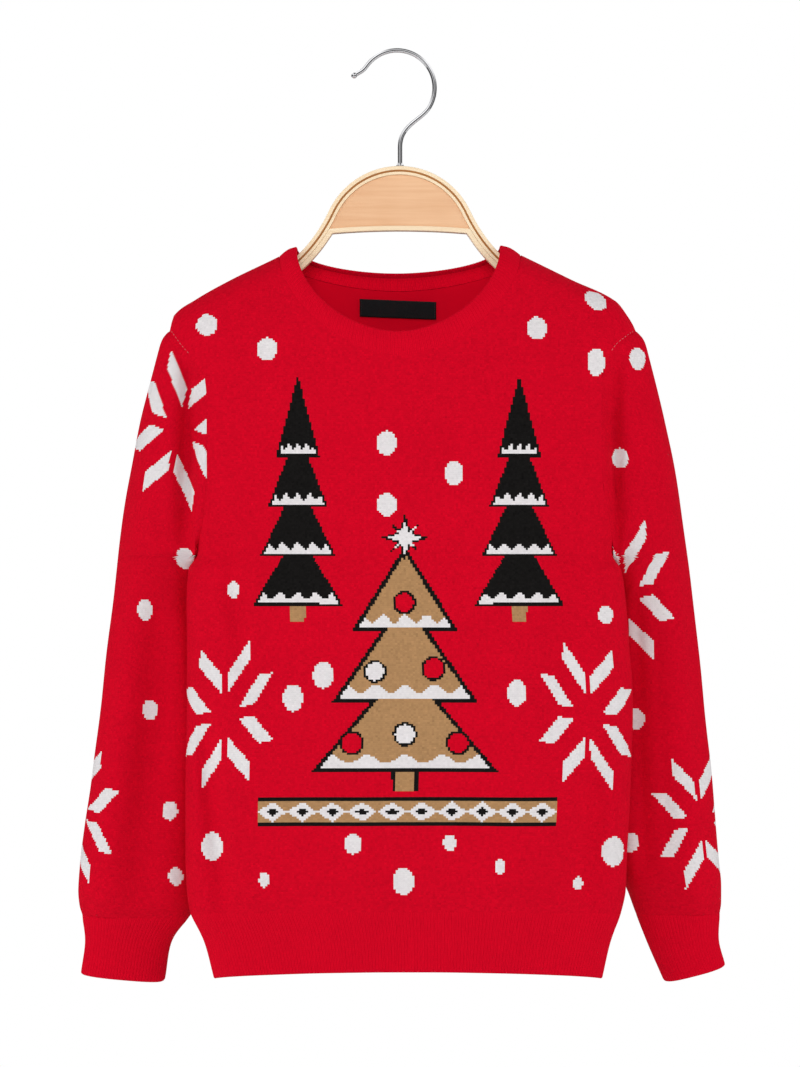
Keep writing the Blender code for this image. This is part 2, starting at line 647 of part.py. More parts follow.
def knitted_pieces(red, black):
    front, back = panel_grid(True), panel_grid(False)
    left = sleeve_grid(armhole_loop(front, back, 0), LEFT_SLEEVE_ROWS, LEFT_SLEEVE_FOLDS)
    right = sleeve_grid(armhole_loop(front, back, -1), RIGHT_SLEEVE_ROWS, RIGHT_SLEEVE_FOLDS)
    surfaces = {
        "front_panel": (front, 1),
        "back_panel": (back, -1),
        "neckband": (neckband_grid(front, back), 1),
        "hem_rib_front": (hem_grid(front, True), 1),
        "hem_rib_back": (hem_grid(back, False), -1),
        "sleeve_left": (left, -SLEEVE_WEIGHT),
        "sleeve_right": (right, SLEEVE_WEIGHT),
        "cuff_left": (cuff_grid(left, LEFT_CUFF_ROWS), -1),
        "cuff_right": (cuff_grid(right, RIGHT_CUFF_ROWS), 1),
    }
    normals = shared_normals(surfaces)
    all_round = ("first_row", "last_row", "first_col", "last_col")
    for name in ("front_panel", "back_panel"):
        plain_piece(name, surfaces[name][0], normals[name], all_round, False, red)
    for name in ("sleeve_left", "sleeve_right"):
        plain_piece(name, surfaces[name][0], normals[name], ("first_row", "last_row"), True, red)
    for name in ("hem_rib_front", "hem_rib_back"):
        rib_piece(name, surfaces[name][0], normals[name], all_round[1:], False, RIB_WALL, RIB_PITCH, red)
    for name in ("cuff_left", "cuff_right"):
        rib_piece(name, surfaces[name][0], normals[name], ("first_row",), True, RIB_WALL, RIB_PITCH, red)
    rib_piece("neckband", surfaces["neckband"][0], normals["neckband"], ("first_row",), True,
              NECKBAND_WALL, NECK_RIB_PITCH, red)
    neck_label(black)


def plain_piece(name, grid, normals, edges, closed, material):
    inner = draw_back(grid - normals * WALL, edges)
    outer = draw_back(grid, edges)
    add_wall(name, outer, inner, range(grid.shape[1]), closed, material)


def rib_piece(name, grid, normals, edges, closed, wall, pitch, material):
    inner = draw_back(grid - normals * wall, edges)
    groove = draw_back(grid, edges)
    outer, starts = ribbed(groove, groove + normals * RIB_RAISE, pitch)
    add_wall(name, outer, inner, starts, closed, material)


def neck_label(material):
    """A woven strip that lies on the inside of the back, just below the band."""
    x = np.linspace(LABEL_LEFT, LABEL_RIGHT, 9)
    faces = []
    for offset in (LABEL_CLEAR, LABEL_CLEAR + LABEL_THICK):
        rows = []
        for z in np.linspace(LABEL_TOP_Z - LABEL_HEIGHT, LABEL_TOP_Z, 3):
            points = on_body(x, z + LABEL_TILT * (x - LABEL_LEFT), False)
            points[:, 1] -= WALL + offset
            rows.append(points)
        faces.append(np.array(rows))
    add_wall("neck_label", faces[1], faces[0], range(len(x)), False, material)


# ---------------------------------------------------------------- hanger and hook

def bow_edge(inset):
    """(out, drop) from the crown's middle to an arm's end, moved in by inset."""
    turns = np.radians(np.linspace(0, CROWN_HALF_ANGLE, 13))
    crown = CROWN_RADIUS * np.stack((np.sin(turns), 1 - np.cos(turns)), axis=1)
    end = np.array((ARM_END_OUT, ARM_END_DROP))
    arm = bezier(crown[-1], crown[-1] + ARM_START_PULL * direction(CROWN_HALF_ANGLE),
                 end - ARM_END_PULL * direction(ARM_END_ANGLE), end, 16)
    line = np.concatenate((crown, arm[1:]))
    slope = np.gradient(line, axis=0)
    slope /= np.linalg.norm(slope, axis=1)[:, None]
    return line + inset * np.stack((-slope[:, 1], slope[:, 0]), axis=1)


def panel_edge(out):
    """Drop of the crescent panel's lower edge."""
    return PANEL_DROP + PANEL_ARCH * (out / PANEL_HALF) ** 2


def mirrored(half):
    """A half outline, from the middle outwards, as a whole one from left to right."""
    return np.concatenate((half[:0:-1] * (-1, 1), half))


def flat_piece(name, outline, depth, material):
    """An (out, drop) outline extruded through the hanger's depth."""
    curve = bpy.data.curves.new(name, "CURVE")
    curve.dimensions = "2D"
    curve.fill_mode = "BOTH"
    curve.extrude = depth / 2
    spline = curve.splines.new("POLY")
    spline.points.add(len(outline) - 1)
    for point, (out, drop) in zip(spline.points, outline):
        point.co = (out, -drop, 0, 1)
    spline.use_cyclic_u = True
    piece = add_object(name, curve, material)
    piece.location = (HANGER_X, 0, HANGER_TOP_Z)
    piece.rotation_euler = (math.radians(90), 0, 0)
    return piece


def as_mesh(piece):
    """The same piece as one welded mesh, ready for a modifier."""
    bpy.context.view_layer.update()
    evaluated = piece.evaluated_get(bpy.context.evaluated_depsgraph_get())
    data = bpy.data.meshes.new_from_object(evaluated)
    mesh = bmesh.new()
    mesh.from_mesh(data)
    bmesh.ops.remove_doubles(mesh, verts=mesh.verts, dist=0.00001)
    bmesh.ops.recalc_face_normals(mesh, faces=mesh.faces)
    mesh.to_mesh(data)
    mesh.free()
    name, place = piece.name, piece.matrix_world.copy()
    material = piece.data.materials[0]
    bpy.data.objects.remove(piece)
    data.materials.clear()
    solid = add_object(name, data, material)
    solid.matrix_world = place
    return solid


def hanger(wood, panel_wood, steel):
    outer, inner = bow_edge(0), bow_edge(BOW_THICK)
    bow_outline = np.concatenate((mirrored(outer), mirrored(inner)[::-1]))
    bow = as_mesh(flat_piece("hanger_bow", bow_outline, BOW_DEPTH, wood))
    drill(bow)

    under = bow_edge(BOW_THICK + LAMINATE_GAP)
    above = under[under[:, 1] < panel_edge(under[:, 0])]
    across = np.linspace(0, above[-1, 0], 9)
    lower = np.stack((across, panel_edge(across)), axis=1)
    crescent = np.concatenate((mirrored(above), mirrored(lower)[::-1][1:-1]))
    flat_piece("hanger_panel", crescent, PANEL_DEPTH, panel_wood)

    arm = under[under[:, 1] > panel_edge(under[:, 0]) + LAMINATE_GAP]
    arm_low = bow_edge(BOW_THICK + LAMINATE_GAP + RAIL_THICK)
    arm_low = arm_low[arm_low[:, 1] > panel_edge(arm_low[:, 0]) + LAMINATE_GAP + RAIL_THICK]
    bridge = np.linspace(0, above[-1, 0], 7)
    upper = np.stack((bridge, panel_edge(bridge) + LAMINATE_GAP), axis=1)
    lower_bridge = np.linspace(0, arm_low[0, 0] - RAIL_THICK / 2, 7)
    lower = np.stack((lower_bridge, panel_edge(lower_bridge) + LAMINATE_GAP + RAIL_THICK), axis=1)
    top_line = mirrored(np.concatenate((upper, arm)))
    low_line = mirrored(np.concatenate((lower, arm_low)))
    flat_piece("hanger_rail", np.concatenate((top_line, low_line[::-1])), BOW_DEPTH, wood)
    hook(steel)


def drill(bow):
    """A bore through the crown for the hook's stem."""
    bpy.ops.mesh.primitive_cylinder_add(vertices=16, radius=BORE_RADIUS, depth=4 * BOW_THICK,
                                        location=(STEM_X, 0, HANGER_TOP_Z))
    bore = bpy.context.object
    bore.name = "stem_bore"
    bore.hide_render = True
    bore.display_type = "WIRE"
    for group in bore.users_collection:
        group.objects.unlink(bore)
    bpy.data.collections[CUTTERS].objects.link(bore)
    cut = bow.modifiers.new("bore", "BOOLEAN")
    cut.operation = "DIFFERENCE"
    cut.object = bore


def hook(steel):
    centre = np.array((0, WIRE_RADIUS - HOOK_RADIUS))
    turns = np.linspace(HOOK_START, HOOK_END, 19)
    arc = np.array([centre + HOOK_RADIUS * direction(turn) for turn in turns])
    tip = np.array((TIP_X, TIP_Z))
    bend = bezier(tip - 0.0012 * direction(TIP_ANGLE), tip - 0.0045 * direction(TIP_ANGLE),
                  arc[0] + 0.004 * direction(HOOK_START + 90), arc[0], 5)
    stem_top = np.array((STEM_X, STEM_TOP_Z))
    sway = bezier(arc[-1], arc[-1] + 0.011 * direction(HOOK_END - 90),
                  stem_top + np.array((0, 0.016)), stem_top, 9)
    stem_end = np.array(((STEM_X, STEM_END_Z),))
    ball = np.array([tip + TIP_RADIUS * share * direction(TIP_ANGLE) for share in (0.92, 0.6, 0.1, -0.35)])
    swell = [TIP_RADIUS * math.sqrt(1 - share * share) / WIRE_RADIUS for share in (0.92, 0.6, 0.1, -0.35)]
    line = np.concatenate((ball, bend, arc[1:], sway[1:], stem_end))
    radii = swell + [1] * (len(line) - len(swell))

    curve = bpy.data.curves.new("hook", "CURVE")
    curve.dimensions = "3D"
    curve.bevel_depth = WIRE_RADIUS
    curve.bevel_resolution = 2
    curve.use_fill_caps = True
    spline = curve.splines.new("POLY")
    spline.points.add(len(line) - 1)
    for point, (x, z), radius in zip(spline.points, line, radii):
        point.co = (x, 0, z, 1)
        point.radius = radius
    add_object("hook", curve, steel)

    profile = bmesh.new()
    corners = ((BORE_RADIUS, COLLAR_HEIGHT), (COLLAR_RADIUS, COLLAR_HEIGHT), (COLLAR_RADIUS, 0),
               (BORE_RADIUS, 0))
    points = [profile.verts.new((radius, 0, height)) for radius, height in corners]
    for i in range(len(points)):
        profile.edges.new((points[i], points[(i + 1) % len(points)]))
    collar = add_mesh("hook_collar", profile, steel)
    collar.location = (STEM_X, 0, HANGER_TOP_Z + SEAM_GAP)
    turn = collar.modifiers.new("turn", "SCREW")
    turn.steps = turn.render_steps = 20
    turn.use_merge_vertices = True
    turn.merge_threshold = 0.00001


# ---------------------------------------------------------------- materials and scene

def material(name, colour, roughness, metallic=0.0):
    made = bpy.data.materials.new(name)
    made.use_nodes = True
    shader = made.node_tree.nodes["Principled BSDF"]
    shader.inputs["Base Color"].default_value = (*colour, 1)
    shader.inputs["Roughness"].default_value = roughness
    shader.inputs["Metallic"].default_value = metallic
    return made


def main():
    for thing in list(bpy.data.objects):
        bpy.data.objects.remove(thing)
    for name in (COLLECTION, CUTTERS):
        bpy.context.scene.collection.children.link(bpy.data.collections.new(name))
    red = material("red_knit", (0.60, 0.008, 0.020), 0.85)
    black = material("label_weave", (0.015, 0.016, 0.018), 0.7)
    wood = material("pale_wood", (0.85, 0.68, 0.45), 0.45)
    panel_wood = material("tan_wood", (0.75, 0.48, 0.26), 0.5)
    steel = material("hook_steel", (0.80, 0.80, 0.82), 0.2, 1.0)
    knitted_pieces(red, black)
    hanger(wood, panel_wood, steel)


main()
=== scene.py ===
"""Looks of a knitted christmas sweater that hangs on a bent wooden hanger.

Metres, +Z up, +X the viewer's right, -Y the front; the origin is the inside of the hook's top.
Every knitted piece is a thin closed shell.  The plain pieces are charted stitch by stitch: one
outer face is one stitch, so the figures have the stepped edges of jacquard knit.
"""

import math

import bpy
import numpy as np
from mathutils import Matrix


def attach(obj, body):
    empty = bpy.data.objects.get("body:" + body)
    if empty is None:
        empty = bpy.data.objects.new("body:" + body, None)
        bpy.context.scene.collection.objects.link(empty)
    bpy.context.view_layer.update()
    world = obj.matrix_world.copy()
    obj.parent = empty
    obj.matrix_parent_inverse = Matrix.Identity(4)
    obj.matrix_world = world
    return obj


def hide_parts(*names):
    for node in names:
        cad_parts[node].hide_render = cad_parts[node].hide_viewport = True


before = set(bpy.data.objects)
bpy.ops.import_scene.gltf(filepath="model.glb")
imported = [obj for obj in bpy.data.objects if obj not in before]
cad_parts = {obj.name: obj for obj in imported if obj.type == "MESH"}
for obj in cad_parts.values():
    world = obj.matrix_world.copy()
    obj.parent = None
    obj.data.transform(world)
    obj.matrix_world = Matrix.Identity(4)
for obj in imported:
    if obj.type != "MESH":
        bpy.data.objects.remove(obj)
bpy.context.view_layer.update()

# ---------------------------------------------------------------- sizes of the garment

WALL = 0.0022
NECKBAND_WALL = 0.0022
RIB_WALL = 0.0024
RIB_RAISE = 0.00035
NECK_RIB_RAISE = 0.0003
RIB_PITCH = 0.0023
NECK_RIB_PITCH = 0.00245
STITCH_W = 0.0015
STITCH_H = 0.00135
INNER_STEP = 3             # the inner surface's faces are this many stitches wide and high

SHOULDER_Z = -0.195
ARMPIT_Z = -0.352
PANEL_LOW_Z = -0.602
RIB_MIDDLE_Z = -0.622
HEM_Z = -0.648
FRONT_LIFT = (0.0058, 0.0075, 0.0095)
BACK_LIFT = (0.000, 0.001, 0.002)

RIDGE_RADIUS = 0.015
FRONT_FILL = 0.050
BACK_FILL = 0.060
FRONT_POWER = 2.6
BACK_POWER = 2.1

BODY_COLUMNS = ("z", "left", "right", "front", "back")
BODY_ROWS = (
    (-0.130, -0.205, 0.212, 0.046, 0.050),
    (-0.195, -0.186, 0.195, 0.046, 0.050),
    (-0.216, -0.173, 0.184, 0.046, 0.050),
    (-0.245, -0.160, 0.171, 0.046, 0.050),
    (-0.300, -0.146, 0.158, 0.047, 0.051),
    (-0.352, -0.1405, 0.151, 0.047, 0.052),
    (-0.362, -0.1459, 0.1568, 0.047, 0.052),
    (-0.383, -0.1472, 0.160, 0.047, 0.052),
    (-0.411, -0.147, 0.162, 0.047, 0.052),
    (-0.453, -0.147, 0.165, 0.047, 0.052),
    (-0.523, -0.148, 0.163, 0.046, 0.051),
    (-0.558, -0.148, 0.161, 0.045, 0.050),
    (-0.585, -0.147, 0.160, 0.044, 0.048),
    (-0.602, -0.1445, 0.1565, 0.042, 0.045),
    (-0.622, -0.1345, 0.1490, 0.039, 0.042),
    (-0.648, -0.1275, 0.1430, 0.037, 0.039),
)

ARMHOLE_COLUMNS = ("z", "left", "right")
ARMHOLE_ROWS = (
    (-0.195, -0.159, 0.167),
    (-0.206, -0.151, 0.153),
    (-0.216, -0.142, 0.147),
    (-0.228, -0.133, 0.142),
    (-0.247, -0.1315, 0.1415),
    (-0.300, -0.1315, 0.1425),
    (-0.327, -0.1345, 0.1475),
    (-0.352, -0.1405, 0.151),
)

TOP_COLUMNS = ("x", "z")
TOP_ROWS = (
    (-0.165, -0.225),
    (-0.159, -0.195),
    (-0.156, -0.184),
    (-0.141, -0.173),
    (-0.116, -0.159),
    (-0.082, -0.1425),
    (-0.070, -0.136),
    (0.000, -0.133),
    (0.072, -0.135),
    (0.086, -0.1415),
    (0.122, -0.159),
    (0.153, -0.174),
    (0.161, -0.184),
    (0.167, -0.195),
    (0.173, -0.225),
)

# Soft troughs (positive depth) and ridges down the body: the large ones, then finer ones.
# Their columns are x_top, z_top, x_low, z_low, width, depth.
FRONT_FOLDS = (
    (-0.119, -0.335, -0.101, -0.455, 0.009, 0.006),
    (-0.138, -0.440, -0.118, -0.610, 0.009, 0.012),
    (-0.141, -0.400, -0.140, -0.603, 0.006, -0.003),
    (0.120, -0.345, 0.112, -0.600, 0.016, 0.005),
    (0.139, -0.470, 0.132, -0.612, 0.012, 0.012),
    (-0.060, -0.420, -0.075, -0.560, 0.030, 0.002),
    (-0.128, -0.300, -0.098, -0.402, 0.007, 0.0012),
    (0.136, -0.296, 0.102, -0.396, 0.008, 0.0013),
    (-0.108, -0.190, -0.120, -0.300, 0.012, 0.0012),
    (0.118, -0.192, 0.130, -0.296, 0.012, 0.0012),
    (0.030, -0.470, 0.038, -0.600, 0.026, 0.0011),
    (-0.018, -0.500, -0.026, -0.598, 0.018, -0.0009),
    (0.078, -0.520, 0.074, -0.600, 0.013, -0.0011),
)
BACK_FOLDS = (
    (-0.100, -0.360, -0.088, -0.600, 0.016, 0.006),
    (0.094, -0.340, 0.104, -0.590, 0.015, 0.007),
    (0.010, -0.300, 0.022, -0.560, 0.034, 0.003),
    (-0.130, -0.290, -0.096, -0.390, 0.008, 0.0014),
    (0.138, -0.296, 0.100, -0.400, 0.008, 0.0013),
    (-0.048, -0.430, -0.040, -0.598, 0.020, 0.0014),
    (0.062, -0.460, 0.054, -0.600, 0.016, -0.0012),
)

NECK_LEFT_SEAM = -0.082
NECK_RIGHT_SEAM = 0.086
NECK_LEFT_EDGE = -0.070
NECK_RIGHT_EDGE = 0.072
FRONT_SEAM_DROP = 0.0725
FRONT_EDGE_DROP = 0.0615
BACK_SEAM_DROP = 0.0225
BACK_EDGE_DROP = 0.0165
NECK_SEAM_POWER = 1.7
NECK_EDGE_POWER = 1.85

SLEEVE_COLUMNS = ("out_x", "out_z", "in_x", "in_z", "bow", "y", "front", "back", "tuck")
LEFT_SLEEVE_ROWS = (
    (-0.1658, -0.2080, -0.1405, -0.3545, 0.0040, -0.010, 0.013, 0.024, 0.004),
    (-0.1731, -0.2330, -0.1418, -0.3585, 0.0030, -0.002, 0.020, 0.027, 0.008),
    (-0.1799, -0.2570, -0.1424, -0.3640, 0.0015, 0.006, 0.026, 0.026, 0.010),
    (-0.1859, -0.2850, -0.1432, -0.3700, 0.0000, 0.013, 0.029, 0.028, 0.011),
    (-0.1914, -0.3120, -0.1420, -0.3780, 0.0000, 0.018, 0.029, 0.028, 0.011),
    (-0.1956, -0.3380, -0.1410, -0.3875, 0.0000, 0.023, 0.028, 0.028, 0.009),
    (-0.1993, -0.3640, -0.1395, -0.3990, 0.0000, 0.028, 0.027, 0.027, 0.006),
    (-0.2027, -0.3910, -0.1375, -0.4135, 0.0000, 0.032, 0.026, 0.026, 0.003),
    (-0.2065, -0.4210, -0.1360, -0.4330, 0.0000, 0.035, 0.025, 0.026, 0.001),
    (-0.2105, -0.4550, -0.1355, -0.4600, 0.0000, 0.037, 0.025, 0.026, 0.000),
    (-0.2148, -0.4880, -0.1370, -0.4890, 0.0000, 0.038, 0.025, 0.026, 0.000),
    (-0.2182, -0.5170, -0.1385, -0.5170, 0.0000, 0.038, 0.025, 0.026, 0.000),
    (-0.2222, -0.5430, -0.1400, -0.5430, 0.0000, 0.038, 0.026, 0.026, 0.000),
    (-0.2254, -0.5690, -0.1415, -0.5680, 0.0000, 0.038, 0.027, 0.026, 0.000),
    (-0.2270, -0.5910, -0.1425, -0.5890, 0.0000, 0.038, 0.026, 0.025, 0.000),
    (-0.2262, -0.6010, -0.1440, -0.6000, 0.0000, 0.038, 0.023, 0.022, 0.000),
    (-0.2242, -0.6080, -0.1470, -0.6080, 0.0000, 0.038, 0.020, 0.020, 0.000),
)
RIGHT_SLEEVE_ROWS = (
    (0.1745, -0.2080, 0.1511, -0.3545, -0.0060, -0.006, 0.016, 0.021, 0.004),
    (0.1815, -0.2330, 0.1525, -0.3585, -0.0040, 0.001, 0.022, 0.025, 0.008),
    (0.1879, -0.2570, 0.1532, -0.3640, -0.0020, 0.008, 0.028, 0.026, 0.010),
    (0.1942, -0.2850, 0.1545, -0.3700, 0.0000, 0.013, 0.029, 0.028, 0.011),
    (0.1992, -0.3120, 0.1545, -0.3780, 0.0000, 0.018, 0.029, 0.028, 0.011),
    (0.2035, -0.3380, 0.1550, -0.3875, 0.0000, 0.023, 0.028, 0.028, 0.009),
    (0.2075, -0.3640, 0.1550, -0.3990, 0.0000, 0.028, 0.027, 0.027, 0.006),
    (0.2111, -0.3910, 0.1540, -0.4135, 0.0000, 0.032, 0.026, 0.026, 0.003),
    (0.2145, -0.4210, 0.1525, -0.4330, 0.0000, 0.035, 0.025, 0.026, 0.001),
    (0.2184, -0.4550, 0.1515, -0.4600, 0.0000, 0.037, 0.025, 0.026, 0.000),
    (0.2219, -0.4880, 0.1510, -0.4890, 0.0000, 0.038, 0.025, 0.026, 0.000),
    (0.2249, -0.5170, 0.1515, -0.5170, 0.0000, 0.038, 0.025, 0.026, 0.000),
    (0.2274, -0.5430, 0.1525, -0.5430, 0.0000, 0.038, 0.026, 0.026, 0.000),
    (0.2292, -0.5680, 0.1555, -0.5640, 0.0000, 0.038, 0.026, 0.026, 0.000),
    (0.2307, -0.5870, 0.1600, -0.5810, 0.0000, 0.038, 0.025, 0.025, 0.000),
    (0.2307, -0.5990, 0.1655, -0.5940, 0.0000, 0.038, 0.022, 0.022, 0.000),
    (0.2298, -0.6062, 0.1700, -0.6062, 0.0000, 0.038, 0.019, 0.020, 0.000),
)
SLEEVE_POWER = 2.25
SLEEVE_INNER_POWER = 3.2   # towards the body, where the sleeve lies flatter
SLEEVE_EVEN_FROM = 5
SLEEVE_COUNT_Z = -0.460    # the height at which the sleeve's columns are one stitch wide
SLEEVE_BLEND = 0.040
CAP_ARC = 1.06             # length of the sleeve's cap against its height
CAP_ASIDE = 1.1            # how far the cap starts sideways from the seam, on the front
CAP_GIVEN_UP = 0.6         # and the share of its straight start that it gives up there
CAP_STEP = 0.15            # row fraction over which the first ring's slope is taken
RINGS_A_ROW = 16
TROUGH_FADE = 0.4          # rows over which a trough begins
SLEEVE_WAVE = 1.2          # waviness of the sleeves against the body's
SEAM_SLOPE = 1.4           # steepest dive of the sleeve beside the armhole seam
SECTION_LEVELS = 820
SECTION_POINTS = 160
YOKE_STEPS = (0, 0.07, 0.17, 0.31, 0.46, 0.62, 0.77, 0.88, 0.95, 0.982, 1)

# Folds down the sleeves: degrees round the ring from the outer point, over the front.
# Their columns are angle, first row, last row, width, depth.
LEFT_SLEEVE_FOLDS = (
    (92.0, 6, 15, 17.0, 0.005),
    (60.0, 8, 17, 16.0, -0.002),
    (248.0, 4, 14, 20.0, 0.005),
    (128.0, 3, 9, 14.0, 0.0016),
    (40.0, 3, 10, 16.0, 0.0012),
    (300.0, 6, 15, 16.0, 0.0018),
)
RIGHT_SLEEVE_FOLDS = (
    (112.0, 5, 14, 17.0, 0.006),
    (70.0, 7, 17, 18.0, -0.002),
    (240.0, 5, 15, 20.0, 0.005),
    (132.0, 2, 8, 14.0, 0.0016),
    (38.0, 4, 11, 16.0, 0.0013),
    (296.0, 7, 16, 16.0, 0.0018),
)

# Troughs beside the armholes, on the sleeves' fronts.
LEFT_TROUGHS = (
    (-0.1425, -0.1900, -0.1480, -0.3460, 0.0070, 0.012),
)
RIGHT_TROUGHS = (
    (0.1485, -0.1900, 0.1490, -0.3480, 0.0070, 0.012),
)

LEFT_CUFF_ROWS = (
    (-0.2220, -0.6270, -0.1608, -0.6270, 0.0, 0.038, 0.018, 0.018, 0.0),
    (-0.2250, -0.6500, -0.1660, -0.6550, 0.0, 0.038, 0.018, 0.018, 0.0),
)
RIGHT_CUFF_ROWS = (
    (0.2290, -0.6260, 0.1795, -0.6300, 0.0, 0.038, 0.018, 0.018, 0.0),
    (0.2335, -0.6440, 0.1905, -0.6550, 0.0, 0.038, 0.018, 0.018, 0.0),
)

# ---------------------------------------------------------------- figures in the knit

RED, WHITE, TAN, BLACK = range(4)
YARN_COLOURS = (
    (0.640, 0.0016, 0.0165),
    (0.790, 0.755, 0.765),
    (0.430, 0.240, 0.108),
    (0.0085, 0.0078, 0.0075),
)
YARN_SPREAD = (0.045, 0.026, 0.055, 0.12)      # how uneven each yarn's colour is

# Snow dots, each an ellipse: x, z, width, height.
FRONT_DOTS = (
    (-0.1316, -0.1922, 0.0150, 0.0150),
    (-0.0894, -0.2096, 0.0140, 0.0160),
    (-0.0071, -0.2746, 0.0138, 0.0168),
    (-0.0070, -0.3168, 0.0138, 0.0158),
    (-0.1128, -0.3755, 0.0078, 0.0122),
    (-0.0506, -0.4335, 0.0138, 0.0185),
    (-0.0713, -0.4494, 0.0138, 0.0185),
    (-0.1278, -0.5532, 0.0146, 0.0198),
    (-0.0913, -0.5746, 0.0070, 0.0104),
    (-0.0301, -0.5493, 0.0118, 0.0138),
    (0.0045, -0.5750, 0.0150, 0.0185),
    (0.0823, -0.4459, 0.0132, 0.0178),
    (0.0363, -0.5485, 0.0090, 0.0110),
    (0.0706, -0.5652, 0.0076, 0.0110),
    (0.1251, -0.5781, 0.0068, 0.0090),
    (0.1500, -0.5569, 0.0165, 0.0205),
    (0.0965, -0.1950, 0.0138, 0.0158),
    (0.1383, -0.1744, 0.0150, 0.0150),
    (0.1375, -0.2182, 0.0125, 0.0190),
    (0.0391, -0.2952, 0.0130, 0.0165),
    (0.1441, -0.3929, 0.0105, 0.0124),
)
BACK_DOTS = (
    (-0.1250, -0.1960, 0.0150, 0.0155),
    (-0.0780, -0.2180, 0.0138, 0.0160),
    (0.0930, -0.2050, 0.0138, 0.0160),
    (0.1310, -0.2150, 0.0125, 0.0180),
    (-0.0230, -0.2350, 0.0130, 0.0150),
    (0.0420, -0.2560, 0.0138, 0.0165),
    (-0.1050, -0.3050, 0.0090, 0.0120),
    (0.1060, -0.3230, 0.0130, 0.0170),
    (-0.0600, -0.3930, 0.0138, 0.0175),
    (0.0640, -0.4120, 0.0132, 0.0175),
    (-0.0120, -0.4560, 0.0090, 0.0120),
    (0.0280, -0.4700, 0.0138, 0.0180),
    (-0.0560, -0.4900, 0.0120, 0.0150),
    (0.0560, -0.5350, 0.0110, 0.0140),
    (-0.0250, -0.5500, 0.0146, 0.0190),
    (-0.1180, -0.5620, 0.0140, 0.0185),
    (0.0050, -0.5830, 0.0080, 0.0110),
    (0.1360, -0.5660, 0.0140, 0.0185),
    (0.0920, -0.5760, 0.0080, 0.0110),
    (-0.0760, -0.5800, 0.0080, 0.0110),
)
LEFT_SLEEVE_DOTS = (
    (-0.1478, -0.3538, 0.0125, 0.0146),
    (-0.1769, -0.3903, 0.0105, 0.0146),
    (-0.1741, -0.4609, 0.0110, 0.0140),
    (-0.1601, -0.5321, 0.0110, 0.0132),
    (-0.1559, -0.5784, 0.0100, 0.0132),
)
RIGHT_SLEEVE_DOTS = (
    (0.1671, -0.2155, 0.0115, 0.0154),
    (0.1549, -0.2843, 0.0110, 0.0140),
    (0.1685, -0.4675, 0.0125, 0.0146),
    (0.1643, -0.5546, 0.0125, 0.0140),
)

# Eight-petalled snowflakes: x, z, half their height, rise of their rows to +X, degrees turned.
FRONT_FLAKES = (
    (-0.1187, -0.4619, 0.0500, 0.20, 0.0),
    (0.1316, -0.4623, 0.0500, -0.19, 0.0),
)
BACK_FLAKES = (
    (-0.1120, -0.4500, 0.0500, 0.16, 0.0),
    (0.1210, -0.4560, 0.0500, -0.16, 0.0),
    (0.0050, -0.3450, 0.0540, 0.00, 0.0),
)
LEFT_SLEEVE_FLAKES = (
    (-0.1511, -0.2647, 0.0515, -0.21, 10.0),
    (-0.2280, -0.5340, 0.0480, -0.10, 5.6),
)
RIGHT_SLEEVE_FLAKES = (
    (0.1591, -0.3802, 0.0510, 0.12, -6.1),
    (0.2148, -0.5389, 0.0480, 0.00, -6.5),
)
# On the sleeves' backs, as on the right one; the left one's are mirrored.  The flake is on the left
# alone, since one from the front goes round to the right sleeve's back.
BACK_SLEEVE_DOTS = (
    (0.1755, -0.2300, 0.0115, 0.0150),
    (0.1690, -0.2760, 0.0110, 0.0140),
    (0.1900, -0.3010, 0.0120, 0.0146),
    (0.1640, -0.4560, 0.0120, 0.0146),
    (0.1990, -0.4700, 0.0115, 0.0140),
    (0.1720, -0.5560, 0.0120, 0.0140),
)
BACK_SLEEVE_FLAKES = (
    (0.1770, -0.3830, 0.0420, 0.00, 6.0),
)
BACK_SLEEVES_SUM = 0.007   # x of a figure and of its mirrored one together

# A flake's petals, as shares of its half height.  The upright ones have upright short sides
# from gap to reach out; the lying ones have level short sides from gap to reach up.
UPRIGHT_PETALS = {"gap": 0.037, "reach": 0.352, "start": 0.300, "slope": 1.30, "thick": 0.270}
LYING_PETALS = {"gap": 0.078, "reach": 0.466, "start": 0.200, "slope": 0.70, "thick": 0.205}

# Fir trees: foot, axis, and tiers as (low z, high z, half width).
OUTLINE = 0.0028
TIER_INSET = 1.25          # inset of a tier's slanted sides against its level one
SCALLOP_WAVE = 0.45        # how much the snow's edge rises and falls
SCALLOPS = 2.5             # waves of snow across half a tier
TREE_X = 0.0055
TREE_TIERS = (
    (-0.500, -0.424, 0.064),
    (-0.452, -0.380, 0.050),
    (-0.404, -0.345, 0.037),
)
TREE_SNOW = 0.0062
TRUNK_HALF = 0.0090
TRUNK_LOW_Z = -0.5135
# Baubles: x, z, radius, yarn.
BAUBLES = (
    (-0.0310, -0.4800, 0.0068, RED),
    (0.0055, -0.4740, 0.0066, WHITE),
    (0.0420, -0.4800, 0.0068, RED),
    (-0.0150, -0.4310, 0.0062, WHITE),
    (0.0250, -0.4290, 0.0068, RED),
    (0.0050, -0.3840, 0.0064, RED),
)
STAR_Z = -0.3395
STAR_RADIUS = 0.0120
STAR_SPIKES = 3.2          # slimness of its four long spikes
STAR_CROSS = 2.4           # and of the four short ones between them
STAR_CROSS_REACH = 0.62    # reach of the short ones against its radius
BAUBLE_RIM = 0.6           # a bauble's outline against the tree's
STAR_RIM = 1.6             # and the star's
SMALL_TREES_X = (-0.0680, 0.0840)
SMALL_TIERS = (
    (-0.386, -0.335, 0.0310),
    (-0.352, -0.300, 0.0260),
    (-0.318, -0.266, 0.0205),
    (-0.284, -0.228, 0.0150),
)
SMALL_SNOW = 0.0050
SMALL_OUTLINE = 0.0016
SMALL_TRUNK_HALF = 0.005
